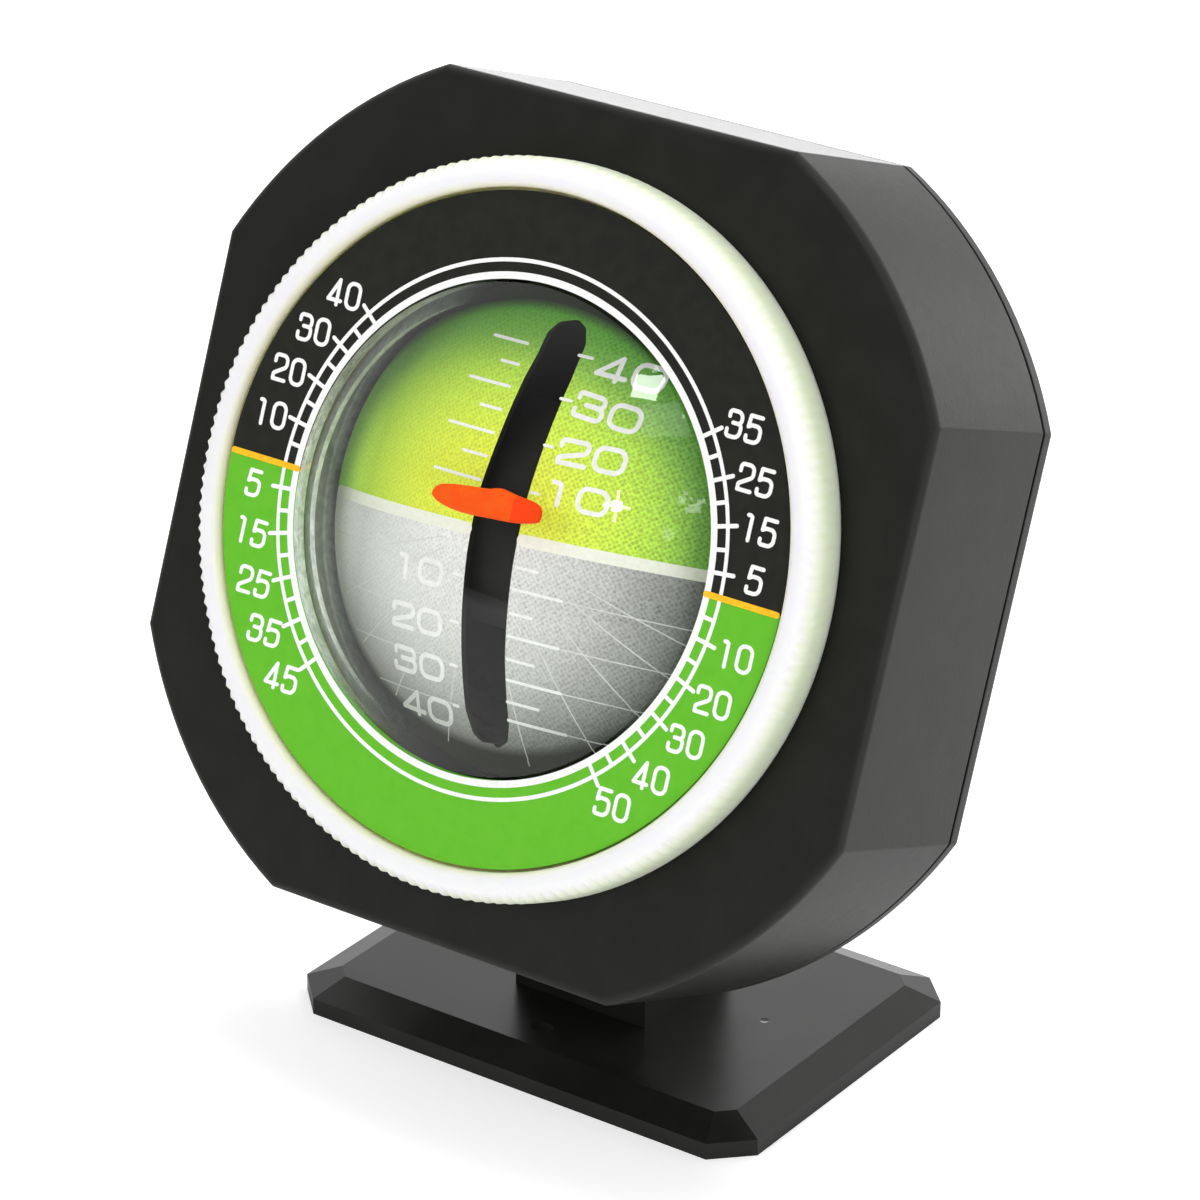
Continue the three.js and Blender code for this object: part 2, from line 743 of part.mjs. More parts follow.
// Steel pin of the roll bearing
const rollPin = rodY(rollPinRadius, stemFront, bearingFront + bearingLength);
add(dial, "roll_pin", rollPin, steel);

// Crescent weight that keeps the dial upright, hung plumb below the roll pin
function rollWeight() {
  const outer = frameOuter - frameRingInset;
  const inner = outer - rollWeightWidth;
  const front = frameBack + seatGap;
  const span = THREE.MathUtils.degToRad(rollWeightSpan);
  const middle = -Math.PI / 2;
  const shape = new THREE.Shape();
  shape.absarc(0, 0, outer, middle - span / 2, middle + span / 2, false);
  shape.absarc(0, 0, inner, middle + span / 2, middle - span / 2, true);
  shape.closePath();
  return alongY(shape, front, front + rollWeightThickness).rotate([0, dialRoll, 0]);
}

add(dial, "roll_weight", rollWeight(), brass);

// Axle of the pitch pointer, held in the frame's cheeks
const axleEnd = cheekOffset + cheekThickness;
add(dial, "pitch_axle", rodX(axleRadius, -axleEnd, axleEnd, axlePlace, 0), steel);

// Everything that pitches turns in this group, about the axle
const pitching = new THREE.Group();
pitching.position.set(0, axlePlace, 0);
pitching.rotation.x = -THREE.MathUtils.degToRad(pointerRise);
dial.add(pitching);

// An annular sector about the axle, drawn in y and z, with its middle at an angle from -Y
// that is positive upwards
function sector(inner, outer, span, middle) {
  const half = THREE.MathUtils.degToRad(span) / 2;
  const centre = Math.PI - THREE.MathUtils.degToRad(middle);
  const shape = new THREE.Shape();
  shape.absarc(0, 0, outer, centre - half, centre + half, false);
  shape.absarc(0, 0, inner, centre + half, centre - half, true);
  shape.closePath();
  return shape;
}

// Hub, arm and curved band, one moulding
function pointerArm() {
  const hubEnd = cheekOffset - seatGap;
  const bandInner = bandRadius - bandThickness;
  const hub = rodX(hubRadius, -hubEnd, hubEnd);
  const band = alongX(sector(bandInner, bandRadius, bandSpan, 0), -bandWidth / 2, bandWidth / 2);
  const spoke = block(
    -spokeThickness / 2, spokeThickness / 2,
    -bandInner - bandThickness / 2, 0,
    -spokeWidth / 2, spokeWidth / 2,
  );
  const turn = bandSpan / 2 - THREE.MathUtils.radToDeg(spokeWidth / 2 / bandInner);
  const arm = block(
    -armWidth / 2, armWidth / 2,
    seatGap - barSeat, -bandInner,
    -spokeWidth / 2, spokeWidth / 2,
  );
  return joined([hub, band, spoke, spoke.rotate([turn, 0, 0]), spoke.rotate([-turn, 0, 0]), arm])
    .subtract(rodX(axleRadius + seatGap, -capRim, capRim));
}

add(pitching, "pointer_arm", pointerArm(), { color: 0x1c1d1a, roughness: 0.5, metalness: 0 });

// Orange bar on the end of the arm, with a low peak in the middle of its upper edge
function pointerBar() {
  const half = barLength / 2;
  const low = -barHeight / 2;
  const high = barHeight / 2;
  const round = barHeight / 3;
  const shape = new THREE.Shape();
  shape.moveTo(round - half, low);
  shape.lineTo(half - round, low);
  shape.quadraticCurveTo(half, low, half, low + round);
  shape.lineTo(half, high - round);
  shape.quadraticCurveTo(half, high, half - round, high);
  shape.lineTo(barPeak, high + barPeak);
  shape.lineTo(-barPeak, high + barPeak);
  shape.lineTo(round - half, high);
  shape.quadraticCurveTo(-half, high, -half, high - round);
  shape.lineTo(-half, low + round);
  shape.quadraticCurveTo(-half, low, round - half, low);
  return alongY(shape, -barSeat - barThickness, -barSeat);
}

add(pitching, "pointer_bar", pointerBar(), { color: 0xff5a10, roughness: 0.5, metalness: 0 });

// Two brass lobes pressed on the hub, which balance the arm and pull the bar level
const lobe = sector(hubRadius + seatGap, lobeReach, lobeSpan, -90 - lobeLean);
add(pitching, "pitch_weight_left", alongX(lobe, -lobeOuter, -lobeInner), brass);
add(pitching, "pitch_weight_right", alongX(lobe, lobeInner, lobeOuter), brass);

export default part;
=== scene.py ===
# A dashboard inclinometer in its rest pose: a square casing with a roll and pitch gauge, tilting
# on a small sticky foot. Everything is in metres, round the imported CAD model; each piece's own
# sizes are in millimetres. The sections follow the instrument as it is put together.
import json
from math import acos, asin, ceil, copysign, cos, hypot, pi, radians, sin, sqrt, tan

import bmesh
import bpy
from mathutils import Matrix, Vector


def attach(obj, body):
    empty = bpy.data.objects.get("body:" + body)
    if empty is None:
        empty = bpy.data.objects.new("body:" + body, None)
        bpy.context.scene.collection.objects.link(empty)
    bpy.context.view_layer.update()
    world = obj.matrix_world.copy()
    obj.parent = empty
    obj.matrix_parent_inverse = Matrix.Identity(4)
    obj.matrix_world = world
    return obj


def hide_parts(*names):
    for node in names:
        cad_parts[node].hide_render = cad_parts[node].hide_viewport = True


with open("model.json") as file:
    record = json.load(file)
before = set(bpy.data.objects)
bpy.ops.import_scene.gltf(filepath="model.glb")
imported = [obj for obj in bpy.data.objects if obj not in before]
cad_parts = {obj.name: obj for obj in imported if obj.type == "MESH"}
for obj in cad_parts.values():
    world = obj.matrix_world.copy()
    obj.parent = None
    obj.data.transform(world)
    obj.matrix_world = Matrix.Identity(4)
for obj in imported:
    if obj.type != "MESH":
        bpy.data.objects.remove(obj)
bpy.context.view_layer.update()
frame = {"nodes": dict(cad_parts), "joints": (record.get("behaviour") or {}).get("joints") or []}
nodes = frame["nodes"]

# Foot and forked post: one ABS moulding, a bevelled plate with cut corners that carries the
# head's hinge. It is moulded in a polished tool, so its top shines more than the head does.
MM = 0.001
FULL = 2 * pi
foot_width, foot_depth, foot_corner = 56.7, 41.3, 3.7
foot_side, foot_top, foot_inset = 1.8, 3.3, 3.55
pad_width, pad_depth, pad_thickness, pad_gap = 48.3, 32.9, 0.7, 0.3
post_width, post_depth, pivot_height = 16.3, 15.3, 17.3
fork_gap, fork_floor = 3.5, 10.0
hinge_bore, sink_radius, head_sink, nut_sink = 1.8, 3.5, 5.35, 5.45
beyond_post = 20


def linear(text):
    """The linear colour of an sRGB hex value"""
    parts = [int(text[i:i + 2], 16) / 255 for i in (0, 2, 4)]
    return [p / 12.92 if p <= 0.04045 else ((p + 0.055) / 1.055) ** 2.4 for p in parts] + [1]


def node(tree, kind, sockets=None, **settings):
    """Adds a node with its settings, values and links; a node as a value is its first output"""
    made = tree.nodes.new("ShaderNode" + kind)
    for name, value in settings.items():
        setattr(made, name, value)
    for name, value in (sockets or {}).items():
        if isinstance(value, bpy.types.Node):
            value = next(socket for socket in value.outputs if socket.enabled)
        if isinstance(value, bpy.types.NodeSocket):
            tree.links.new(value, made.inputs[name])
        else:
            made.inputs[name].default_value = value
    return made


def new_finish(name):
    """An empty material and its node tree"""
    made = bpy.data.materials.new(name)
    made.use_nodes = True
    made.node_tree.nodes.clear()
    return made, made.node_tree


def set_stops(ramp, stops):
    """Fills a colour ramp with stops, each a share of its length and a hex value"""
    elements = ramp.color_ramp.elements
    while len(elements) < len(stops):
        elements.new(0.5)
    for element, (share, colour) in zip(elements, stops):
        element.position, element.color = share, linear(colour)


def mottle(tree, dark, light, size):
    """A colour that wanders between two, in patches of a size in millimetres"""
    place = node(tree, "TexCoord").outputs["Object"]
    noise = node(tree, "TexNoise", {"Vector": place, "Scale": 1 / (size * MM), "Detail": 3})
    ramp = node(tree, "ValToRGB", {"Fac": noise})
    set_stops(ramp, [(0.35, dark), (0.65, light)])
    return ramp


def grain(tree, size, height):
    """The bump of a grained surface, both of its sizes in millimetres"""
    place = node(tree, "TexCoord").outputs["Object"]
    noise = node(tree, "TexNoise", {"Vector": place, "Scale": 1 / (size * MM), "Detail": 2})
    bump = node(tree, "Bump", {"Height": noise, "Distance": height * MM})
    return bump


def roughness(tree, low, high, size):
    """Roughness that wanders between two values, in patches of a size in millimetres"""
    place = node(tree, "TexCoord").outputs["Object"]
    noise = node(tree, "TexNoise", {"Vector": place, "Scale": 1 / (size * MM), "Detail": 4})
    varied = node(tree, "MapRange", {"Value": noise, "To Min": low, "To Max": high})
    return varied


def seen_from(tree, place):
    """The place and the axes of a tilted group, for a pattern that follows it"""
    here = node(tree, "TexCoord").outputs["Object"]
    turned_back = node(tree, "Mapping", {
        "Vector": here, "Location": place.to_translation(), "Rotation": place.to_euler()},
        vector_type="TEXTURE")
    return turned_back, node(tree, "SeparateXYZ", {0: turned_back}).outputs


def surface(tree, end):
    """Ends a material in a shader, or in a Principled one with these sockets"""
    shader = node(tree, "BsdfPrincipled", end) if isinstance(end, dict) else end
    node(tree, "OutputMaterial", {"Surface": shader})


def even_finish(name, colours, rough, bump, sockets):
    """A material that is the same all over: mottled, evenly or unevenly rough, and grained"""
    made, tree = new_finish(name)
    surface(tree, {
        "Base Color": mottle(tree, *colours), "Normal": grain(tree, *bump),
        "Roughness": roughness(tree, *rough) if isinstance(rough, tuple) else rough, **sockets})
    return made


def lofted(rings, closed=False):
    """A mesh through rings or single points, closed by end faces or on itself"""
    mesh = bmesh.new()
    rows = [[mesh.verts.new(p) for p in ring] for ring in rings]
    for low, high in list(zip(rows, rows[1:])) + ([(rows[-1], rows[0])] if closed else []):
        count = max(len(low), len(high))
        for i in range(count):
            j = (i + 1) % count
            quad = [row[k % len(row)] for row, k in ((low, i), (low, j), (high, j), (high, i))]
            mesh.faces.new([v for k, v in enumerate(quad) if v not in quad[:k]])
    for end in [] if closed else [rows[0][::-1], rows[-1]]:
        if len(end) > 1:
            mesh.faces.new(end)
    bmesh.ops.recalc_face_normals(mesh, faces=mesh.faces)
    return mesh


def around(radius, start, end, steps, centre=(0, 0)):
    """Points of a circle from one angle to another"""
    return [(centre[0] + radius * cos(start + (end - start) * i / steps),
             centre[1] + radius * sin(start + (end - start) * i / steps))
            for i in range(steps + 1)]


def turned(profile, steps):
    """A body of revolution about Y from [radius, y] points, closed where it has a bore"""
    rings = [[(x, y, z) for x, z in around(radius, 0, FULL, steps)[:-1]] if radius else [(0, y, 0)]
             for radius, y in profile]
    return lofted(rings, closed=profile[0][0] > 0)


def box_mesh(low, high):
    """A plain block between two corners, used as a cutter"""
    mesh = bmesh.new()
    bmesh.ops.create_cube(mesh, size=1)
    for vert in mesh.verts:
        vert.co = [a if c < 0 else b for a, b, c in zip(low, high, vert.co)]
    return mesh


def rod_x(radius, start, end, y, z, steps=48):
    """A round bar along X, used as a cutter or a shank"""
    ring = around(radius, 0, FULL, steps, (y, z))[:-1]
    return lofted([[(x, *p) for p in ring] for x in (start, end)])


def placed(name, data):
    """A new object in the scene"""
    made = bpy.data.objects.new(name, data)
    bpy.context.scene.collection.objects.link(made)
    return made


def carved(body, tools, operation="DIFFERENCE"):
    """A mesh with others cut out of it or joined to it"""
    used = []
    for mesh in [body] + tools:
        data = bpy.data.meshes.new("blank")
        mesh.to_mesh(data)
        mesh.free()
        used.append(placed("blank", data))
    for tool in used[1:]:
        cut = used[0].modifiers.new("cut", "BOOLEAN")
        cut.operation, cut.solver, cut.object = operation, "EXACT", tool
    whole = used[0].evaluated_get(bpy.context.evaluated_depsgraph_get()).to_mesh()
    result = bmesh.new()
    result.from_mesh(whole)
    for blank in used:
        bpy.data.objects.remove(blank)
    return result


def piece(name, mesh, finishes, place=Matrix.Identity(4), edge=0, steps=2, angle=30):
    """A shown piece from a mesh in millimetres, its edges rounded by an even radius"""
    bmesh.ops.transform(mesh, matrix=place @ Matrix.Scale(MM, 4), verts=mesh.verts)
    data = bpy.data.meshes.new(name)
    mesh.to_mesh(data)
    mesh.free()
    made = placed(name, data)
    for finish in finishes if isinstance(finishes, list) else [finishes]:
        data.materials.append(finish)
    data.polygons.foreach_set("use_smooth", [True] * len(data.polygons))
    if edge:
        bevel = made.modifiers.new("edges", "BEVEL")
        bevel.limit_method, bevel.angle_limit = "ANGLE", radians(angle)
        bevel.width, bevel.segments = edge * MM, steps
        bevel.miter_outer, bevel.harden_normals = "MITER_ARC", True
    else:
        data.set_sharp_from_angle(angle=radians(angle))
    return made


# Polished ABS: black, with a clear reflection that is blurred only a little.
polished_abs = even_finish("polished black ABS", ("181916", "1f201d", 6), (0.25, 0.35, 3),
                           (0.5, 0.004), {"IOR": 1.53, "Specular IOR Level": 0.4})


def foot_ring(inset, z):
    """The plate's outline at one height"""
    x, y = foot_width / 2 - inset, foot_depth / 2 - inset
    c = foot_corner - inset * (2 - sqrt(2))
    return [(px, py, z) for px, py in ((-x + c, -y), (x - c, -y), (x, -y + c), (x, y - c),
                                       (x - c, y), (-x + c, y), (-x, y - c), (-x, -y + c))]


half_post = post_depth / 2
arch = [(-half_post, foot_side), (half_post, foot_side)]
arch += around(half_post, 0, pi, 32, (0, pivot_height))
post = lofted([[(x, *p) for p in arch] for x in (-post_width / 2, post_width / 2)])
stand = carved(lofted([foot_ring(0, 0), foot_ring(0, foot_side), foot_ring(foot_inset, foot_top)]),
               [post], "UNION")


def dimple(x, y, width, depth, deep):
    """The cutter of a shallow oval ejector mark in the plate's top"""
    rings = []
    for share in (0.15, 0.4, 0.65, 0.85, 1, 1.15):
        oval = around(share / 2, 0, FULL, 24)[:-1]
        z = foot_top + deep * (share * share - 1)
        rings.append([(x + width * a, y + depth * b, z) for a, b in oval])
    return lofted(rings)


recess_x, recess_y = pad_width / 2 + pad_gap, pad_depth / 2 + pad_gap
stand = carved(stand, [
    dimple(-0.4, -13.6, 2.6, 2.0, 0.12), dimple(17.1, 0.9, 1.0, 1.0, 0.06),
    box_mesh((-recess_x, -recess_y, -2), (recess_x, recess_y, pad_thickness + pad_gap)),
    box_mesh((-fork_gap, -beyond_post, fork_floor), (fork_gap, beyond_post, 2 * beyond_post)),
    rod_x(hinge_bore, -beyond_post, beyond_post, 0, pivot_height),
    rod_x(sink_radius, head_sink, beyond_post, 0, pivot_height),
    rod_x(sink_radius, -beyond_post, -nut_sink, 0, pivot_height, 6)])
foot = piece("foot_and_post", stand, polished_abs, edge=0.3, steps=3, angle=12)
# Its large flats are shaded flat, so that the marks in them don't pull the light across.
large_flat = 8 * MM ** 2
for face in foot.data.polygons:
    face.use_smooth = face.area < large_flat
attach(foot, "stand")
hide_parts("stand_base")

# Sticky pad: die-cut acrylic foam tape under the foot, matt and slightly spongy at its edge.
# It keeps its CAD shape.


def coat(name, finish):
    """Gives a solid that keeps its CAD shape its finish"""
    nodes[name].data.materials.clear()
    nodes[name].data.materials.append(finish)


foam = even_finish("closed-cell foam tape", ("1c1c1c", "333331", 0.4), 0.95, (0.3, 0.06),
                   {"IOR": 1.45})
coat("adhesive_pad", foam)

# Tilt screw, washer and nut: zinc-plated steel, a slotted screw through the fork and the lug.
# Barrel plating leaves a bright grey with soft cloudy patches.
zinc = even_finish("zinc-plated steel", ("a9abae", "c9cacb", 0.8), (0.28, 0.45, 0.5),
                   (0.2, 0.003), {"Metallic": 1.0})
tilt_radius, tilt_height, tilt_shank, tilt_length = 2.9, 1.7, 1.5, 14.3
slot_floor, half_slot, slot_turn = 0.85, 0.36, 0.5
washer_face, washer_back, washer_rim, washer_thickness = 6.15, 5.55, 3.2, 0.5
nut_radius, nut_height, nut_bore = 3.2, 2.4, 1.6
post_side = post_width / 2


def along_x(mesh, x, turn=0):
    """Lays a mesh that was made along Y on the hinge's axis"""
    bmesh.ops.transform(mesh, verts=mesh.verts, matrix=(
        Matrix.Translation((x, 0, pivot_height)) @ Matrix.Rotation(-pi / 2, 4, "Z")
        @ Matrix.Rotation(turn, 4, "Y")))
    return mesh


def pan_head(radius, height, shank, length):
    """A pan-head screw along Y with its seat at zero, its head to the back"""
    crown = [(radius * s, height * t) for s, t in
             ((1, 0.15), (1, 0.45), (0.96, 0.66), (0.86, 0.84), (0.7, 0.94), (0.4, 0.99), (0, 1))]
    return turned([(0, -length), (shank * 0.8, -length), (shank, 0.4 - length), (shank, 0),
                   (radius * 0.97, 0)] + crown, 48)


screw_mesh = carved(pan_head(tilt_radius, tilt_height, tilt_shank, tilt_length),
                    [box_mesh((-4, slot_floor, -half_slot), (4, 3, half_slot))])
screw_mesh = along_x(screw_mesh, washer_face, slot_turn)
tilt_screw = piece("tilt_screw_turned", screw_mesh, zinc, edge=0.06)
washer = turned([(hinge_bore, 0), (hinge_bore, washer_thickness), (washer_rim, washer_thickness),
                 (washer_rim, 0)], 48)
tilt_washer = piece("tilt_washer_turned", along_x(washer, washer_back), zinc, edge=0.08)
nut = carved(rod_x(nut_radius, -post_side, nut_height - post_side, 0, pivot_height, 6),
             [rod_x(nut_bore, -beyond_post, beyond_post, 0, pivot_height)])
tilt_nut = piece("tilt_nut_hex", nut, zinc, edge=0.2)
for made, solid in (
        (tilt_screw, "tilt_screw"), (tilt_washer, "tilt_washer"), (tilt_nut, "tilt_nut")):
    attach(made, "stand")
    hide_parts(solid)

# Front casing: an injection-moulded ABS box, a square whose corners follow one circle. Its face
# is spark-eroded matt, its sides are a finer satin, and a round mouth lets the ring through.
half_head, head_corner = 42.0, 46.7
face_y, cover_front, cover_back = 4.5, 25.9, 27.9
wall, edge_round, parting = 2.0, 1.0, 0.3
mouth_radius = 32.05
joints = {joint["name"]: joint for joint in frame["joints"]}


def stance(joint, across):
    """The matrix of a group that turns on a joint, from its zero point and two of its axes"""
    back = Vector(joints["ring_turn"]["axis"]).normalized()
    side = Vector(across).normalized()
    turned_to = Matrix((side, back, side.cross(back))).transposed().to_4x4()
    return Matrix.Translation(joints[joint]["pos_m"]) @ turned_to


HEAD = stance("ring_turn", (1, 0, 0))


def casing_ring(inset, y):
    """The casing's outline at one depth, as points that match from ring to ring"""
    half, radius = half_head - inset, head_corner - inset
    flats, arcs = 6, 16
    turn = acos(half / radius)
    points = []
    for side in range(4):
        base = side * pi / 2
        for i in range(flats):
            angle = turn * (2 * i / flats - 1)
            points.append((half, half * tan(angle), base))
        for i in range(arcs):
            angle = turn + (pi / 2 - 2 * turn) * i / arcs
            points.append((radius * cos(angle), radius * sin(angle), base))
    return [(a * cos(t) - b * sin(t), y, a * sin(t) + b * cos(t)) for a, b, t in points]


def round_ring(radius, y):
    """A circle whose points lie at the same angles as those of the casing's outline"""
    return [(radius * x / hypot(x, z), y, radius * z / hypot(x, z))
            for x, _, z in casing_ring(0, 0)]


def rounded_rim(y, way):
    """Rings round an edge of the casing, from its side to its face"""
    return [casing_ring(edge_round * (1 - cos(a)), y + way * edge_round * (1 - sin(a)))
            for a in [pi / 2 * i / 8 for i in range(9)]]


def satin(tree):
    """Satin ABS: a fine leathery grain that catches a grey sheen"""
    return node(tree, "BsdfPrincipled", {
        "Base Color": mottle(tree, "161713", "1d1e1a", 4), "IOR": 1.53, "Specular IOR Level": 0.43,
        "Roughness": roughness(tree, 0.33, 0.43, 1), "Normal": grain(tree, 0.3, 0.02)})


# Black ABS of the casing: an even charcoal on its face that hardly reflects, and satin sides. The
# tool's two textures run into each other over the rounding. Their real grain of about 0.1 mm is
# drawn at 0.25 and 0.3 mm, so that it shows.
moulded_abs, tree = new_finish("spark-eroded black ABS")
matt = node(tree, "BsdfPrincipled", {
    "Base Color": mottle(tree, "181915", "1c1d19", 4), "Roughness": roughness(tree, 0.5, 0.6, 1),
    "IOR": 1.53, "Specular IOR Level": 0.25, "Normal": grain(tree, 0.25, 0.012)})
axes = seen_from(tree, HEAD)[1]
change = node(tree, "MapRange", {
    "Value": axes["Y"], "From Min": face_y * MM, "From Max": (face_y + 0.8) * MM})
surface(tree, node(tree, "MixShader", {0: change, 1: matt, 2: satin(tree)}))
satin_abs, tree = new_finish("satin black ABS")
surface(tree, satin(tree))
casing_back = cover_front - parting
shell = lofted(
    [round_ring(mouth_radius, face_y + wall), round_ring(mouth_radius, face_y)]
    + rounded_rim(face_y, 1)[::-1]
    + [casing_ring(0, casing_back), casing_ring(wall, casing_back),
       casing_ring(wall, face_y + wall)], closed=True)
casing = piece("front_casing", shell, moulded_abs, HEAD, edge=0.15, angle=22)
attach(casing, "head")
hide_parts("front_housing")

# Rear cover: a flat ABS plate behind a thin parting line, with a solid lug for the hinge. Four
# screws in counterbores hold it to the corners of the casing.
pivot_y, pivot_z, lug_half, lug_radius = 36.5, -34.2, 3.2, 6.5
lug_low, lug_high = -40, -24
screw_circle, screw_seat, screw_bore = 41.0, 26.4, 1.4
counterbore, counter_floor, behind_cover = 2.3, 26.1, 30
lean = radians(21.1)
corners = around(screw_circle, pi / 4, pi / 4 + FULL, 4)[:-1]
plate_back = lofted([casing_ring(0, cover_front)] + rounded_rim(cover_back, -1))
lug_outline = [(cover_back - 1, lug_low), (cover_back, lug_low)]
lug_outline += around(
    lug_radius, -pi / 2 - lean / 2, pi / 2 - lean, 32, (pivot_y, pivot_z))
lug_outline += [(cover_back, lug_high), (cover_back - 1, lug_high)]
lug = lofted([[(x, *p) for p in lug_outline] for x in (-lug_half, lug_half)])
cover_mesh = carved(plate_back, [lug], "UNION")
bores = []
for radius, front in ((counterbore, counter_floor), (screw_bore, 20)):
    for x, z in corners:
        bores.append(turned([(0, front), (radius, front), (radius, behind_cover),
                             (0, behind_cover)], 32))
        bmesh.ops.translate(bores[-1], vec=(x, 0, z), verts=bores[-1].verts)
cover_mesh = carved(cover_mesh, bores + [rod_x(hinge_bore, -10, 10, pivot_y, pivot_z)])
cover = piece("back_cover", cover_mesh, satin_abs, HEAD, edge=0.15, angle=22)
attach(cover, "head")
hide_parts("rear_cover")

# Cover screws: zinc-plated pan heads with a cross recess, driven in from the back. Each has
# stopped at its own angle.
pan_radius, pan_height, pan_shank, pan_length = 2, 1.2, 1.1, 11
cross_arm, cross_half, cross_floor = 1.24, 0.26, 0.48
for number, (x, z) in enumerate(corners, 1):
    cross = [box_mesh((-a, cross_floor, -b), (a, 2 * pan_height, b))
             for a, b in ((cross_arm, cross_half), (cross_half, cross_arm))]
    blank = carved(pan_head(pan_radius, pan_height, pan_shank, pan_length), cross)
    bmesh.ops.transform(blank, verts=blank.verts, matrix=(
        Matrix.Translation((x, screw_seat, z)) @ Matrix.Rotation(0.7 * number, 4, "Y")))
    screw = piece(f"cover_screw_{number}_pan", blank, zinc, HEAD, edge=0.05)
    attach(screw, "head")
    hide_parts(f"cover_screw_{number}")

# Luminous ring: photoluminescent polypropylene with 180 small ridges for the fingers. The glow
# pigment makes it a greenish off-white that lets some light through its edges.
ring_tip, ring_inner, ring_front, ring_back = 36.1, 33.0, -0.85, 4.15
ring_round, lip_round, tooth_count, tooth_depth = 1.9, 0.7, 180, 0.3
skirt, skirt_inner, skirt_back, plate_seat = 31.7, 29.9, 9.05, 1.3
groove, groove_front, groove_back = 30.8, 6.55, 8.15


def spread(tree, vector, centre, stretch, colours):
    """Rings of colour round a place, at radii in millimetres across it"""
    shifted = node(tree, "VectorMath", {0: vector, 1: (-centre[0] * MM, -centre[1] * MM, 0)})
    scaled = node(tree, "VectorMath", {0: shifted, 1: (1, stretch, 1)}, operation="MULTIPLY")
    far = node(tree, "VectorMath", {0: scaled}, operation="LENGTH")
    reach = colours[-1][0]
    share = node(tree, "Math", {0: far, 1: 1 / (reach * MM)}, operation="MULTIPLY")
    ramp = node(tree, "ValToRGB", {"Fac": share})
    set_stops(ramp, [(radius / reach, colour) for radius, colour in colours])
    return ramp


# Painted shade: the pale pigment is drawn greener and darker on the outer wall and creamier along
# the inner lip, where shade falls on the ring.
luminous, tree = new_finish("photoluminescent polypropylene")
axes = seen_from(tree, HEAD)[1]
flat = node(tree, "CombineXYZ", {"X": axes["X"], "Y": axes["Z"]})
pigment_with_painted_shade = spread(tree, flat, (0, 0), 1, [
    (0, "f4f1dc"), (33.1, "efebd0"), (33.7, "fdfdf8"), (35.0, "fefffa"), (35.7, "f0f6e2"),
    (36.2, "dde8c8")])
surface(tree, {
    "Base Color": pigment_with_painted_shade, "Roughness": roughness(tree, 0.35, 0.45, 1),
    "IOR": 1.49, "Subsurface Weight": 1.0, "Subsurface Radius": (0.9, 1.0, 0.7),
    "Subsurface Scale": 0.003, "Normal": grain(tree, 0.5, 0.006)})
# The ridges stand in the rounding and run out along the wall. Each place of the section holds
# its radius, its depth and the share of a ridge's full height there.
ridge_shares = (0, 0, 0.12, 0.5, 0.9, 1, 0.85, 0.6, 0.42)
profile = []
for i, share in enumerate(ridge_shares):
    angle = pi / 2 * i / 8
    profile.append((ring_tip - ring_round * (1 - sin(angle)),
                    ring_front + ring_round * (1 - cos(angle)), share))
profile += [(ring_tip, 1.7, 0.3), (ring_tip, 2.6, 0.15), (ring_tip, 3.4, 0.05)]
profile += [(radius, y, 0) for radius, y in (
    (ring_tip - 0.1, 3.85), (ring_tip - 0.5, ring_back), (skirt, ring_back), (skirt, groove_front),
    (groove, groove_front), (groove, groove_back), (skirt, groove_back), (skirt, skirt_back),
    (skirt_inner, skirt_back), (skirt_inner, plate_seat), (ring_inner, plate_seat))]
for i in range(6):
    angle = pi / 2 * i / 5
    profile.append((ring_inner + lip_round * (1 - cos(angle)),
                    ring_front + lip_round * (1 - sin(angle)), 0))
samples = 10
ring_rows = []
for radius, y, share in profile:
    row = []
    for i in range(tooth_count * samples):
        wave = 0.5 - 0.5 * cos(FULL * i / samples)
        reach = radius - tooth_depth * share * wave ** 0.8
        angle = FULL * i / (tooth_count * samples)
        row.append((reach * cos(angle), y, reach * sin(angle)))
    ring_rows.append(row)
ring = piece("luminous_bezel", lofted(ring_rows, closed=True), luminous, HEAD, angle=50)
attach(ring, "scale_ring")
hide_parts("luminous_ring")

# Scale plate: screen-printed polycarbonate that turns with the ring. Black ink above and green
# below meet on the zero line; the scale is white ink, the zero lines are amber.
plate_bore, plate_rim, plate_thickness, bore_chamfer = 24.15, 32.7, 1.0, 0.05
plate_ink, tree = new_finish("screen-printed polycarbonate")
axes = seen_from(tree, HEAD)[1]
upper = node(tree, "Math", {0: axes["Z"], 1: 0.0}, operation="GREATER_THAN")
split = node(tree, "Mix", {
    "Factor": upper, "A": mottle(tree, "62bd27", "69c02c", 1.5),
    "B": mottle(tree, "20211d", "252621", 1.5)}, data_type="RGBA")
surface(tree, {
    "Base Color": split, "Roughness": roughness(tree, 0.45, 0.55, 0.8),
    "IOR": 1.5, "Specular IOR Level": 0.2, "Normal": grain(tree, 0.2, 0.004)})
plate = piece("printed_scale_plate", turned([
    (plate_bore, bore_chamfer), (plate_bore + bore_chamfer, 0), (plate_rim, 0),
    (plate_rim, plate_thickness), (plate_bore, plate_thickness)], 256), plate_ink, HEAD)
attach(plate, "scale_ring")
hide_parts("scale_plate")


def ink(name, dark, light):
    """An ink: even colour with faint unevenness from the screen it is pressed through"""
    made, ink_tree = new_finish(name)
    surface(ink_tree, {
        "Base Color": mottle(ink_tree, dark, light, 0.5), "Roughness": 0.5, "IOR": 1.5,
        "Specular IOR Level": 0.3})
    return made


white_ink = ink("white screen ink", "f4f5f3", "ffffff")
amber_ink = ink("amber screen ink", "ffb708", "ffc91c")


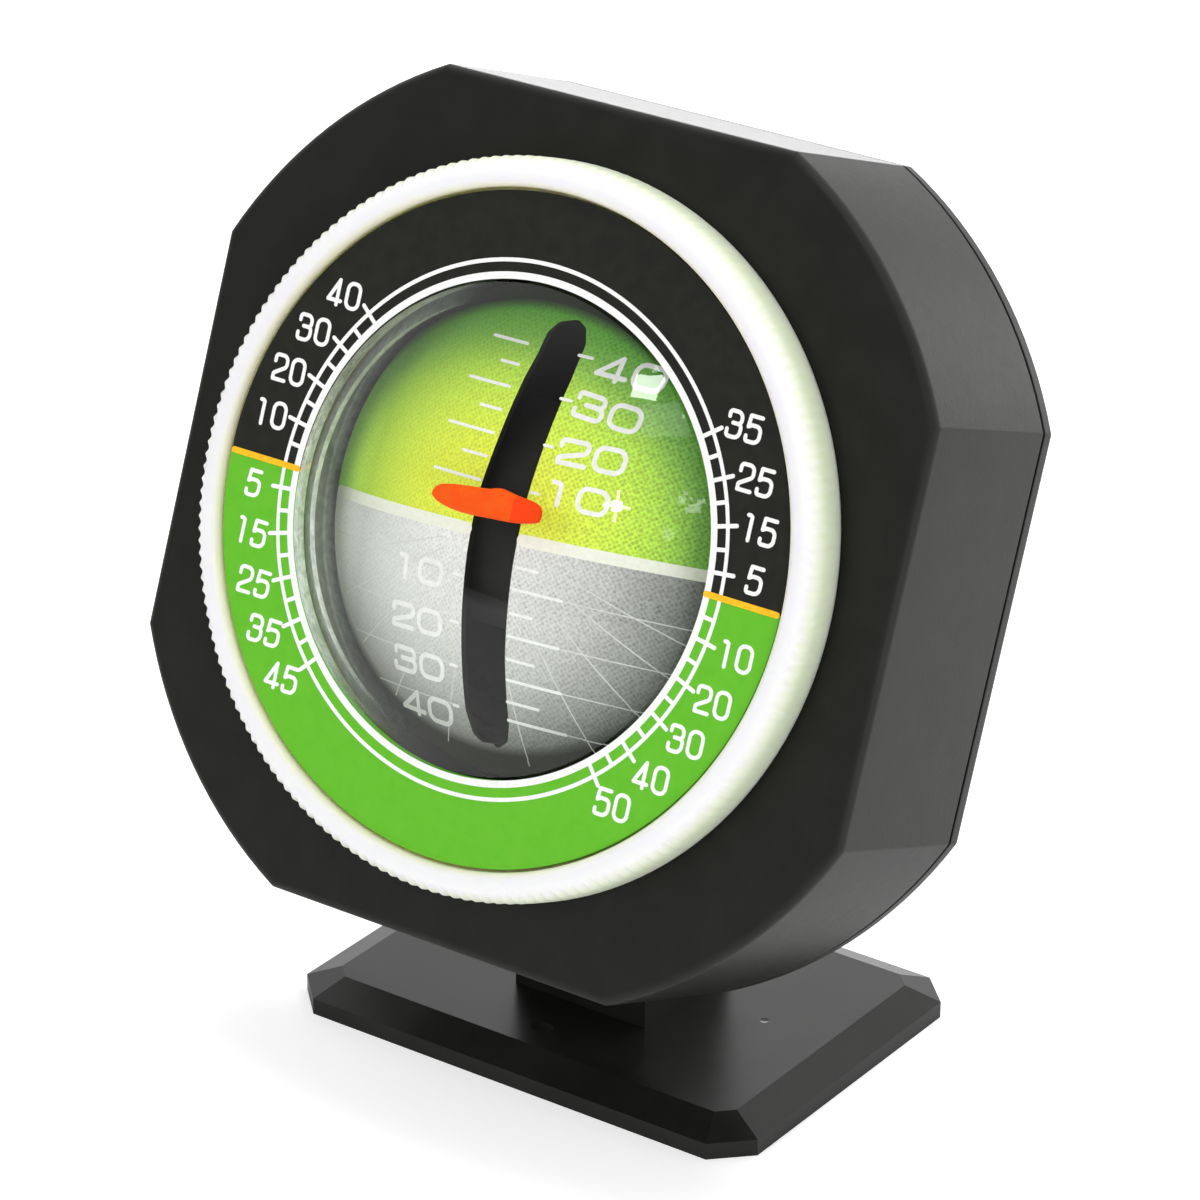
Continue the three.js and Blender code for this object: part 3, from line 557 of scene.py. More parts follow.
def rounded(points, closed=False):
    """A line through points (x, z, corner radius), with its corners rounded"""
    steps = 8
    line = []
    for i, point in enumerate(points):
        here = Vector(point[:2])
        radius = point[2] if len(point) > 2 else 0
        if not radius or not closed and i in (0, len(points) - 1):
            line.append(here)
            continue
        before = Vector(points[i - 1][:2]) - here
        after = Vector(points[(i + 1) % len(points)][:2]) - here
        half = before.angle(after) / 2
        reach = min(radius / tan(half), before.length * 0.5, after.length * 0.5)
        back, on = before.normalized(), after.normalized()
        centre = here + (back + on).normalized() * reach / cos(half)
        a, b = here + back * reach - centre, here + on * reach - centre
        turn = a.angle_signed(b)
        for k in range(steps + 1):
            line.append(centre + Matrix.Rotation(-turn * k / steps, 2) @ a)
    return line


def stroke(mesh, line, width, place, height, closed=False):
    """Prints a line of even width, a thin closed body with round ends, through place(x, z, h)"""
    line = [Vector(p) for p in line]
    count, tips = len(line), 6
    left, right = [], []
    for i, point in enumerate(line):
        ways = []
        if closed or i:
            ways.append((point - line[i - 1]).normalized())
        if closed or i < count - 1:
            ways.append((line[(i + 1) % count] - point).normalized())
        way = sum(ways, Vector((0, 0))).normalized()
        across = Vector((-way.y, way.x)) * width / 2 / max(0.6, way.dot(ways[0]))
        left.append(point + across)
        right.append(point - across)
    if closed:
        loops = [left, right]
        top = [(i, (i + 1) % count, count + (i + 1) % count, count + i) for i in range(count)]
    else:
        def tip(centre, edge):
            return [centre + Matrix.Rotation(pi * k / tips, 2) @ (edge - centre)
                    for k in range(1, tips)]
        loops = [left + tip(line[-1], right[-1])[::-1] + right[::-1] + tip(line[0], left[0])[::-1]]
        last = count + tips - 1
        top = [(i, i + 1, last + count - 2 - i, last + count - 1 - i) for i in range(count - 1)]
        top.append(tuple(range(count - 1, last + 1)))
        top.append((0,) + tuple(range(len(loops[0]) - 1, last + count - 2, -1)))
    points = [p for loop in loops for p in loop]
    high = [mesh.verts.new(place(p.x, p.y, height)) for p in points]
    low = [mesh.verts.new(place(p.x, p.y, 0)) for p in points]
    for face in top:
        mesh.faces.new([high[i] for i in face])
        mesh.faces.new([low[i] for i in reversed(face)])
    offset = 0
    for loop in loops:
        for i in range(len(loop)):
            a, b = offset + i, offset + (i + 1) % len(loop)
            mesh.faces.new((high[a], high[b], low[b], low[a]))
        offset += len(loop)


# Figures, drawn in a unit square as lines whose corners are rounded by a share of one radius.
FIGURES = {
    "0": [[(0, 0, 1), (1, 0, 1), (1, 1, 1), (0, 1, 1)]],
    "1": [[(0.31, 0.96), (0.5, 0.96, 0.4), (0.6, 0.9), (0.6, 0)]],
    "2": [[(0.02, 0.72), (0.02, 1, 1), (1, 1, 1), (1, 0.56, 0.8), (0.03, 0.22, 0.3), (0.03, 0)],
          [(0.03, 0), (1, 0)]],
    "3": [[(0.03, 0.76), (0.03, 1, 1), (0.97, 1, 1), (0.97, 0.54, 0.6), (0.36, 0.54)],
          [(0.5, 0.54), (1, 0.54, 0.7), (1, 0, 1), (0, 0, 1), (0, 0.26)]],
    "4": [[(0.73, 0), (0.73, 1)], [(0.73, 1), (0, 0.17)], [(0, 0.17), (1.03, 0.17)]],
    "5": [[(0.98, 1), (0.12, 1)], [(0.12, 1), (0.05, 0.56)],
          [(0.05, 0.56), (0.3, 0.64, 0.5), (1, 0.64, 1), (1, 0, 1), (0, 0, 1), (0, 0.2)]],
}


# Where strokes cross, each lies this much above the last, so that no two share a face.
ink_step = 0.004


def figures(mesh, text, x, z, width, height, radius, pitch, line, place, lift, fall=0):
    """Prints upright figures with their middle at a place, on a line that falls by a share"""
    x0 = x - (len(text) - 1) * pitch / 2 - width / 2
    for number, sign in enumerate(text):
        ring_shaped = sign == "0"
        for layer, points in enumerate(FIGURES[sign]):
            drawn = []
            for u, v, *share in points:
                across = x0 + number * pitch + u * width
                up = z + (v - 0.5) * height - fall * (across - x)
                drawn.append((across, up, radius * sum(share)))
            stroke(mesh, rounded(drawn, ring_shaped), line, place, lift + layer * ink_step,
                   ring_shaped)


def on_plate(x, z, height):
    """A place on the front of the plate, or above it"""
    return (x, -height, z)


def spoke(angle, inner, outer):
    """A short line that points at the dial's centre"""
    a = radians(angle)
    return [(r * cos(a), r * sin(a)) for r in (inner, outer)]


# The white print: two circles, a tick every 5 degrees, and figures at the longer ticks.
ink_height = 0.03
circles = ((24.5, 0.7), (26.0, 0.4))
tick_width, tick_start, short_tick, long_tick = 0.42, 24.6, 25.9, 27.0
zero_width, zero_start, zero_end = 0.62, 24.4, 32.4
label_ring = 29.35
# A figure's width and height, the radius of its corners, the step to the next one, its line
plate_figure = (1.47, 2.45, 0.64, 2.17, 0.4)
labels = [("40", 142.4), ("30", 152.2), ("20", 161.8), ("10", 171.2), ("5", 185.2),
          ("15", 194.6), ("25", 204.4), ("35", 214.2), ("45", 224.1), ("35", 33.4),
          ("25", 23.3), ("15", 14.2), ("5", 4.9), ("10", -9.6), ("20", -19.3),
          ("30", -28.6), ("40", -38.7), ("50", -48.7)]
print_mesh = bmesh.new()
for radius, width in circles:
    circle = around(radius, 0, FULL, 240)[:-1]
    stroke(print_mesh, circle, width, on_plate, ink_height, closed=True)
for low, high, long_places in ((-50, 35, (5, 15, 25, 35, -10, -20, -30, -40, -50)),
                               (140, 225, (140, 150, 160, 170, 185, 195, 205, 215, 225))):
    for angle in range(low, high + 5, 5):
        if angle % 180:
            tick = spoke(angle, tick_start, long_tick if angle in long_places else short_tick)
            stroke(print_mesh, tick, tick_width, on_plate, ink_height + ink_step)
for text, angle in labels:
    a = radians(angle)
    figures(print_mesh, text, label_ring * cos(a), label_ring * sin(a), *plate_figure,
            on_plate, ink_height)
zero_mesh = bmesh.new()
for angle in (0, 180):
    stroke(zero_mesh, spoke(angle, zero_start, zero_end), zero_width, on_plate, ink_height + 0.01)
for name, mesh, finish in (
        ("scale_print", print_mesh, white_ink), ("zero_lines", zero_mesh, amber_ink)):
    printed = piece(name, mesh, finish, HEAD)
    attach(printed, "scale_ring")

# Retainer: a split spring-steel ring snapped into the skirt's groove behind the casing's wall. It
# keeps its CAD shape.
coat("ring_retainer", zinc)

# Capsule front: one clear acrylic moulding, a low dome that runs into a neck and a wider body.
# The liquid behind it takes the bending away, so only the outside reflects.
# Its rim and wall carry painted light: lit grey-green bands on the left with painted reflections of
# the ticks, and painted shade towards the top and bottom.
dome_rim, dome_rise, dome_wall = 23.85, 7.9, 1.5
body_radius, body_bore, flange_radius, flange_front, flange_back = 27, 25.4, 29.5, 10, 11.6


def passed(tree):
    """One for the rays that carry light to the dial, which go straight through the capsule"""
    rays = node(tree, "LightPath").outputs
    return node(tree, "Math", {0: rays["Is Shadow Ray"], 1: rays["Is Diffuse Ray"]},
                operation="MAXIMUM")


def glazing(name, gloss):
    """Clear acrylic against the liquid, with a share of the outside's reflection"""
    made, tree = new_finish(name)
    acrylic = node(tree, "BsdfPrincipled", {
        "Base Color": linear("ffffff"), "Roughness": 0.0, "IOR": 1.01, "Transmission Weight": 1.0,
        "Coat Weight": gloss, "Coat Roughness": 0.02, "Coat IOR": 1.49})
    passing = node(tree, "BsdfTransparent", {"Color": linear("fcfdfb")})
    surface(tree, node(tree, "MixShader", {0: passed(tree), 1: acrylic, 2: passing}))
    return made


def rim_painted_light(name, bands):
    """Painted light on the rim and wall: bands of depth lit on the left, with painted reflections
    of the ticks and painted shade towards the top and bottom; clear elsewhere
    """
    made, tree = new_finish(name)
    axes = seen_from(tree, HEAD)[1]
    # The painted light shows only on the left side.
    side = node(tree, "MapRange", {"Value": axes["X"], "From Min": -9 * MM, "From Max": -17 * MM})
    deepest = bands[-1][0]
    depth = node(tree, "MapRange", {"Value": axes["Y"], "From Min": 0, "From Max": deepest * MM})
    ramp = node(tree, "ValToRGB", {"Fac": depth})
    set_stops(ramp, [(y / deepest, colour) for y, colour in bands])
    rise = node(tree, "Math", {0: axes["Z"], 1: 5 * MM}, operation="ADD")
    height = node(tree, "Math", {0: rise}, operation="ABSOLUTE")
    # Painted shade: the bands darken away from the middle height.
    painted_shade_off_middle = node(tree, "MapRange", {
        "Value": height, "From Min": 7 * MM, "From Max": 15 * MM,
        "To Min": 1.0, "To Max": 0.45})
    bands_with_painted_shade = node(tree, "VectorMath", {0: ramp, "Scale": painted_shade_off_middle}, operation="SCALE")
    # Painted reflections of the ticks, as light streaks.
    painted_tick_reflections = node(tree, "VectorMath", {
        0: bands_with_painted_shade, 1: mottle(tree, "d0d0d0", "ffffff", 0.9)}, operation="MULTIPLY")
    solid = node(tree, "BsdfPrincipled", {"Base Color": painted_tick_reflections, "Roughness": 0.5, "IOR": 1.49})
    clear = node(tree, "BsdfTransparent", {"Color": linear("fafcf8")})
    share = node(tree, "Math", {0: side, 1: passed(tree)}, operation="SUBTRACT", use_clamp=True)
    surface(tree, node(tree, "MixShader", {0: share, 1: clear, 2: solid}))
    return made


polished_front = glazing("polished acrylic", 1.0)
wetted_inside = glazing("acrylic wetted by the liquid", 0.0)
# Both carry painted light: the rim near-white at the front, the wall grey-green with a painted
# shadow line 5.4 to 6.6 mm deep.
painted_lit_rim = rim_painted_light("acrylic rim with painted light", [(0, "fcfffc"), (1.2, "e4f0e0"), (12, "c0d0b8")])
painted_lit_wall = rim_painted_light("capsule wall with painted light and shade", [
    (0, "d8e8d8"), (4, "c8dac4"), (5.4, "78876c"), (6.6, "748268"), (7.0, "aabaa6"),
    (7.4, "90a08c"), (12, "8c9b86")])


def cap_size(rim, rise):
    """The radius of a sphere from the rim and the rise of a cap on it"""
    return (rim ** 2 + rise ** 2) / 2 / rise


def dome(radius, centre, start, end, steps):
    """Points [radius, y] of a dome that bulges to the front"""
    a, b = asin(start / radius), asin(end / radius)
    angles = [a + (b - a) * i / steps for i in range(steps + 1)]
    return [(radius * sin(t), centre - radius * cos(t)) for t in angles]


dome_radius = cap_size(dome_rim, dome_rise)
dome_centre = sqrt(dome_radius ** 2 - dome_rim ** 2) - 0.3
neck = dome_rim - dome_wall
neck_y = dome_centre - sqrt((dome_radius - dome_wall) ** 2 - neck ** 2)
lens_profile = dome(dome_radius - dome_wall, dome_centre, 0, neck, 24)
lens_profile += [
    (neck, neck_y + 0.75), (body_bore, neck_y + 3.15), (body_bore, flange_back),
    (flange_radius, flange_back), (flange_radius, flange_front), (body_radius, flange_front),
    (body_radius, 2.3), (26.77, 1.73), (26.2, dome_wall), (dome_rim, dome_wall)]
lens_profile += dome(dome_radius, dome_centre, dome_rim, 0, 24)
lens_mesh = turned(lens_profile, 192)
for face in lens_mesh.faces:
    middle = face.calc_center_median()
    radius, outward = hypot(middle.x, middle.z), face.normal.y < 0
    if middle.y < 0.4 and radius < dome_rim - 0.1:
        face.material_index = 0 if outward else 1
    elif radius < body_bore + 0.2 and middle.y > 1 and not (middle.y < 1.6 and outward):
        face.material_index = 3
    else:
        face.material_index = 2
lens = piece("capsule_dome", lens_mesh,
             [polished_front, wetted_inside, painted_lit_rim, painted_lit_wall], HEAD, angle=25)
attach(lens, "head")
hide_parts("capsule_lens")

# Hidden parts of the capsule: nitrile seal and filling plug, grey ABS bowl, four plated screws
# and a brass bush for the roll pin. They keep the CAD shapes.
nitrile = even_finish("nitrile rubber", ("181818", "232323", 0.8), 0.8, (0.2, 0.01), {"IOR": 1.52})
dark_abs = even_finish("dark grey ABS", ("2c2d2b", "343533", 2), (0.45, 0.55, 1), (0.3, 0.01),
                       {"IOR": 1.53})
brass = even_finish("turned brass", ("b98f45", "d1ab62", 0.7), (0.25, 0.4, 0.3), (0.1, 0.003),
                    {"Metallic": 1.0})
for name, finish in [
        ("capsule_gasket", nitrile), ("filler_plug", nitrile), ("capsule_bowl", dark_abs),
        ("roll_bearing", brass)] + [(f"capsule_screw_{k}", zinc) for k in (1, 2, 3, 4)]:
    coat(name, finish)

# Roll dial: a thin domed styrene cap, offset-printed as a horizon. Green runs out from yellow
# above, and grey darkens below, both in a halftone; white figures and a pitch ladder are on top.
cap_rim, cap_rise, cap_thickness = 24.2, 7.45, 0.8
slot_start = 3.0
cap_radius = cap_size(cap_rim, cap_rise)
cap_centre = cap_radius - 0.3
DIAL = stance("dial_roll", [-c for c in joints["pointer_pitch"]["axis"]])
gloss_black = even_finish("glossy black ABS", ("212220", "272826", 3), (0.35, 0.45, 2),
                          (0.4, 0.008), {"IOR": 1.53, "Specular IOR Level": 0.15})
# A real screen has a dot every 0.17 mm. It is drawn at 0.42 mm with 0.25 mm of paper grain, so
# that it shows.
halftone, paper_grain, screen_angle = 0.42, 0.25, 52
horizon_lean, horizon_height = 0.034, -0.45
horizon_print, tree = new_finish("offset-printed styrene")
face, axes = seen_from(tree, DIAL)
flat = node(tree, "CombineXYZ", {"X": axes["X"], "Y": axes["Z"]})
above = spread(tree, flat, (-2, 1), 1.25, [
    (0, "e4f04c"), (8, "e0ed4d"), (12, "d2e94f"), (15, "c4e450"), (18, "b2db50"),
    (20, "9acb50"), (22, "7db64c"), (25, "60a93a"), (30, "4c9430")])
below = spread(tree, flat, (-6, -1), 1.15, [
    (0, "ecedec"), (10, "dcdddc"), (15, "cbcccb"), (19, "b9bab9"), (21, "a6a7a6"),
    (23.5, "959695"), (25.5, "8b8d8c"), (27, "727573"), (29, "565a56")])
leaning = node(tree, "Math", {
    0: axes["X"], 1: -horizon_lean, 2: -horizon_height * MM}, operation="MULTIPLY_ADD")
upper = node(tree, "Math", {0: axes["Z"], 1: leaning}, operation="ADD")
upper = node(tree, "Math", {0: upper, 1: 0.0}, operation="GREATER_THAN")
picture = node(tree, "Mix", {"Factor": upper, "A": below, "B": above}, data_type="RGBA")
screen = node(tree, "Mapping", {"Vector": flat, "Rotation": (0, 0, radians(screen_angle))})
dots = node(tree, "TexVoronoi", {
    "Vector": screen, "Scale": 1 / (halftone * MM), "Randomness": 0.35})
speck = node(tree, "TexNoise", {"Vector": face, "Scale": 1 / (paper_grain * MM), "Detail": 1})
screened = node(tree, "Math", {0: dots, 1: speck}, operation="ADD")
# The dots grow stronger to the right, and painted light brightens the last millimetres at the left,
# where the clear wall pipes light in.
depth = node(tree, "MapRange", {
    "Value": axes["X"], "From Min": -15 * MM, "From Max": 15 * MM, "To Min": 0.2, "To Max": 0.75})
swing = node(tree, "MapRange", {
    "Value": screened, "From Min": 0.4, "From Max": 1.2, "To Min": -0.5, "To Max": 0.5})
tone = node(tree, "Math", {0: swing, 1: depth, 2: 1.0}, operation="MULTIPLY_ADD")
# Painted light on the left edge of the print.
painted_edge_light = node(tree, "MapRange", {
    "Value": axes["X"], "From Min": -18 * MM, "From Max": -24 * MM, "To Min": 1.0, "To Max": 1.7})
tone = node(tree, "Math", {0: tone, 1: painted_edge_light}, operation="MULTIPLY")
printed = node(tree, "VectorMath", {0: picture, "Scale": tone}, operation="SCALE")
# Painted shade: the print darkens to a dark olive at the cap's rim.
painted_rim_shade = spread(tree, flat, (-1.2, 0), 1.1, [
    (0, "000000"), (23.2, "000000"), (24.4, "ffffff")])
bordered = node(tree, "Mix", {
    "Factor": painted_rim_shade, "A": printed, "B": linear("262d1f")}, data_type="RGBA")
surface(tree, {"Base Color": bordered, "Roughness": 0.45, "IOR": 1.5,
               "Specular IOR Level": 0.2})


def on_cap(x, z, height):
    """A place on the front of the cap, or above it"""
    y = sqrt(cap_radius ** 2 - x * x - z * z)
    share = (cap_radius + height) / cap_radius
    return (x * share, cap_centre - y * share, z * share)


cap_rows = dome(cap_radius - cap_thickness, cap_centre, 0, cap_rim, 40)
cap_rows += [(cap_rim + 0.02, cap_rows[-1][1] - 0.3)]
cap_rows += dome(cap_radius, cap_centre, cap_rim, 0, 40)
# The slot's corners as x, z and rounding: it narrows a little towards both of its uneven ends.
slot_line = rounded([
    (-1.75, 14.5, 5), (-2.3, 8, 5), (-2.8, 3, 5), (-2.8, -3, 5), (-2.6, -9, 5), (-2.3, -15, 5),
    (-2.1, -18.4, 2), (-1.4, -20.7, 1), (-0.4, -21.3, 0.6), (0.9, -21.1, 0.3), (1.4, -21.5, 0.4),
    (2.7, -20.5, 1), (3.05, -18.6, 2), (2.75, -12, 5), (2.65, -3, 5), (2.75, 4, 5), (3.05, 10, 5),
    (3.3, 15.5, 5), (3.2, 19, 1.5), (2.4, 20.5, 0.8), (1.2, 21.1, 0.8), (-0.7, 20.5, 0.9),
    (-1.4, 19.3, 0.8), (-1.4, 17.2, 2)], True)
slot_cutter = lofted([[(x, y, z) for x, z in slot_line] for y in (-5, 12)])
cap_mesh = carved(turned(cap_rows, 160), [slot_cutter])
cap_mesh.normal_update()
for face in cap_mesh.faces:
    middle = face.calc_center_median()
    if abs(face.normal.y) < 0.1 and hypot(middle.x, middle.z) < cap_rim - 0.1:
        face.material_index = 1
cap = piece("printed_dial_cap", cap_mesh, [horizon_print, gloss_black], DIAL, angle=40)
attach(cap, "roll_dial")
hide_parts("dial_cap")


def dense(a, b):
    """A straight line in steps of a millimetre, so that it can follow the dome"""
    a, b = Vector(a), Vector(b)
    count = max(1, ceil((b - a).length))
    return [a.lerp(b, i / count) for i in range(count + 1)]


# The ladder from 10 to 40 above and from 5 to 40 below: the height of each rung, how far it
# reaches on the side away from its figures, and how far on their side. A figure comes as its
# text, place and fall.
rungs = (
    (4.25, -9.0, 3.8), (6.6, -6.0, 0), (8.9, -8.85, 3.9), (11.2, -5.6, 0), (13.5, -8.2, 4.2),
    (15.7, -5.15, 0), (17.8, -7.3, 4.5), (-3.0, 5.4, 0), (-5.15, 8.3, -4.1), (-7.55, 5.4, 0),
    (-9.8, 8.4, -3.9), (-12.1, 5.9, 0), (-14.15, 8.8, -3.8), (-16.35, 6.4, 0), (-18.2, 9.2, -3.6))
rung_width, rung_height, stub_shift = 0.3, 0.03, 0.1
dial_figure, figure_height = (2.9, 2.2, 0.85, 3.75, 0.47), 0.035
dial_mesh = bmesh.new()
for z, reach, stub in rungs:
    for end, shift in ((reach, 0), (stub, copysign(stub_shift, z))):
        if end:
            left, right = sorted((copysign(slot_start, end), end))
            rung = dense((left, z + shift), (right, z + shift))
            stroke(dial_mesh, rung, rung_width, on_cap, rung_height)
for text, x, z, fall in (
        ("10", 7.55, 4.85, 0), ("20", 8.05, 8.95, -0.02), ("30", 8.1, 13.3, 0.08),
        ("40", 8.8, 17.35, 0.03), ("10", -8.95, -5.9, -0.04), ("20", -8.55, -10.8, -0.04),
        ("30", -8.2, -15.2, -0.02), ("40", -7.4, -19.4, 0.02)):
    figures(dial_mesh, text, x, z, *dial_figure, on_cap, figure_height, fall)
dial_print = piece("dial_figures", dial_mesh, white_ink, DIAL)
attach(dial_print, "roll_dial")

# Horizon band and grid: cream and thin grey lines of the same print, the grid drawn in
# perspective from the middle of the horizon.
cream_ink = ink("cream offset ink", "f4f6e6", "fcfdf2")
grid_ink = ink("pale grey offset ink", "d6d7da", "e3e4e6")
horizon_mesh, grid_mesh = bmesh.new(), bmesh.new()
horizon_width, grid_width, grid_reach, grid_height = 1.2, 0.13, 23.2, 0.012
for start, end in ((-23.5, -3.3), (3.2, 23.5)):
    middle_line = [(x, horizon_height + horizon_lean * x)
                   for x in [start + (end - start) * i / 24 for i in range(25)]]
    stroke(horizon_mesh, middle_line, horizon_width, on_cap, 0.02)
for side in (-1, 1):
    # The grid's level lines run through the numbered rungs below the horizon.
    for z in [z for z, reach, stub in rungs if z < 0 and stub]:
        level = dense((side * slot_start, z), (side * sqrt(grid_reach ** 2 - z ** 2), z))
        stroke(grid_mesh, level, grid_width, on_cap, grid_height)
    for tilt, first in ((0.22, 15), (0.62, 6.5), (1.12, 6.5), (1.85, 6.5), (3.0, 6.5)):
        way = Vector((side * tilt, -1)).normalized()
        ray = dense(way * first, way * (grid_reach - 0.4))
        stroke(grid_mesh, ray, grid_width, on_cap, grid_height + 0.003)
for name, mesh, finish in (
        ("horizon_band", horizon_mesh, cream_ink), ("perspective_grid", grid_mesh, grid_ink)):
    printed = piece(name, mesh, finish, DIAL)
    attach(printed, "roll_dial")

# Dial frame, roll pin, crescent weight and pitch axle: black ABS, steel and brass behind the
# cap, seen only as the dark of the slot. They keep the CAD shapes.
lacquered = even_finish("black lacquered brass", ("20211f", "282927", 0.8), (0.5, 0.6, 0.5),
                        (0.2, 0.005), {"IOR": 1.5, "Specular IOR Level": 0.1})
for name, finish in (
        ("dial_frame", gloss_black), ("roll_pin", zinc), ("roll_weight", lacquered),
        ("pitch_axle", zinc), ("pitch_weight_left", brass), ("pitch_weight_right", brass),
        ("pointer_arm", gloss_black)):
    coat(name, finish)
for name in ("pointer_arm", "dial_frame", "roll_weight", "capsule_bowl", "roll_pin", "pitch_axle"):
    data = nodes[name].data
    data.polygons.foreach_set("use_smooth", [True] * len(data.polygons))
    data.set_sharp_from_angle(angle=radians(32))

# Pitch bar: fluorescent orange ABS on the arm's end, a blunt lens shape with a low peak right of
# the middle of its upper edge. Its right quarter bends back at a crease, and a deeper orange is
# painted there as the shade of that turned-away facet.
bar_seat, bar_thickness, bar_pitch = 21.8, 1.2, -6.6
crease_at, crease_slope = 4.3, 0.3
BAR = (Matrix.Translation(joints["pointer_pitch"]["pos_m"])
       @ DIAL.to_3x3().to_4x4() @ Matrix.Rotation(radians(bar_pitch), 4, "X"))
fluorescent, tree = new_finish("fluorescent orange ABS")
axes = seen_from(tree, BAR)[1]
# Painted shade: a deeper orange beyond the crease.
shaded_facet = node(tree, "Math", {0: axes["X"], 1: crease_at * MM}, operation="GREATER_THAN")
orange_with_painted_shade = node(tree, "Mix", {
    "Factor": shaded_facet, "A": mottle(tree, "ff5405", "ff6008", 1.2), "B": linear("ff4300")},
    data_type="RGBA")
surface(tree, {
    "Base Color": orange_with_painted_shade, "Roughness": roughness(tree, 0.45, 0.55, 1),
    "IOR": 1.53, "Specular IOR Level": 0.1, "Normal": grain(tree, 0.3, 0.008)})
# Its outline: place along the bar, lower edge, upper edge. The section has a crowned front.
bar_outline = (
    (-5, -0.25, 0), (-4.95, -0.45, 0.3), (-4.8, -0.6, 0.58), (-4.55, -0.76, 0.8),
    (-4.2, -0.9, 0.95), (-3.6, -1.07, 1.09), (-2.9, -1.2, 1.2), (-1.5, -1.3, 1.36),
    (0, -1.26, 1.5), (1.1, -1.18, 1.62), (1.65, -1.14, 1.82), (2.2, -1.12, 1.92),
    (2.9, -1.08, 1.82), (3.6, -1.03, 1.7), (crease_at, -0.96, 1.62), (5.1, -0.83, 1.56),
    (5.7, -0.7, 1.48), (6.2, -0.57, 1.38), (6.6, -0.46, 1.22), (6.8, -0.36, 1),
    (6.95, -0.2, 0.75), (7, 0.05, 0.4))
crown = ((-1, 0), (-1, 0.5), (-0.96, 0.8), (-0.82, 0.97), (-0.6, 1),
         (0.6, 1), (0.82, 0.97), (0.96, 0.8), (1, 0.5), (1, 0))
bar_rings = []
for x, low, high in bar_outline:
    middle, half = (low + high) / 2, (high - low) / 2
    depth = max(0, x - crease_at) * crease_slope - bar_thickness
    bar_rings.append([(x, depth * v - bar_seat, middle + half * u) for u, v in crown])
bar = piece("orange_bar", lofted(bar_rings), fluorescent, BAR, angle=60)
for edge_line in bar.data.edges:
    a, b = (bar.data.vertices[i].co for i in edge_line.vertices)
    if all(abs((BAR.inverted() @ end).x - crease_at * MM) < 1e-6 for end in (a, b)):
        edge_line.use_edge_sharp = True
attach(bar, "pitch_pointer")
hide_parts("pointer_bar")

# Studio: a pale floor that runs out to white, soft light from above and behind, weaker fills
# from the left and the right, and the camera of the photograph.
floor_paint, tree = new_finish("white sweep")
sweep = node(tree, "BsdfPrincipled", {
    "Base Color": mottle(tree, "f0f0f0", "f4f4f4", 300), "Roughness": 0.9,
    "Specular IOR Level": 0.1})
lift = node(tree, "Emission", {"Color": (1, 1, 1, 1), "Strength": 0.5})
both = node(tree, "AddShader", {0: sweep, 1: lift})
camera_ray = node(tree, "LightPath").outputs["Is Camera Ray"]
surface(tree, node(tree, "MixShader", {0: camera_ray, 1: sweep, 2: both}))
floor_mesh = bmesh.new()
bmesh.ops.create_grid(floor_mesh, x_segments=4, y_segments=4, size=2500)
floor = piece("floor", floor_mesh, floor_paint)
lit_point = Vector((0, 0, 0.055))


def soft_light(name, place, size, power, mirrored=False):
    """A lamp that points at the instrument, in metres and watts, and lights it or is mirrored"""
    lamp = bpy.data.lights.new(name, "AREA")
    lamp.shape, lamp.energy = "RECTANGLE", power
    lamp.size, lamp.size_y = size
    made = placed(name, lamp)
    made.location = place
    aim = (lit_point - Vector(place)).to_track_quat("-Z", "Y")
    made.rotation_euler = aim.to_euler()
    made.visible_camera = made.visible_transmission = False
    made.visible_diffuse, made.visible_glossy = not mirrored, mirrored
    return made


soft_light("light_above", (0.05, 0.25, 0.85), (0.7, 0.7), 5.6)
soft_light("light_front", (-0.35, -0.8, 0.55), (0.5, 0.5), 2.2)
soft_light("light_right", (0.75, -0.6, 0.12), (0.4, 0.4), 2.6)
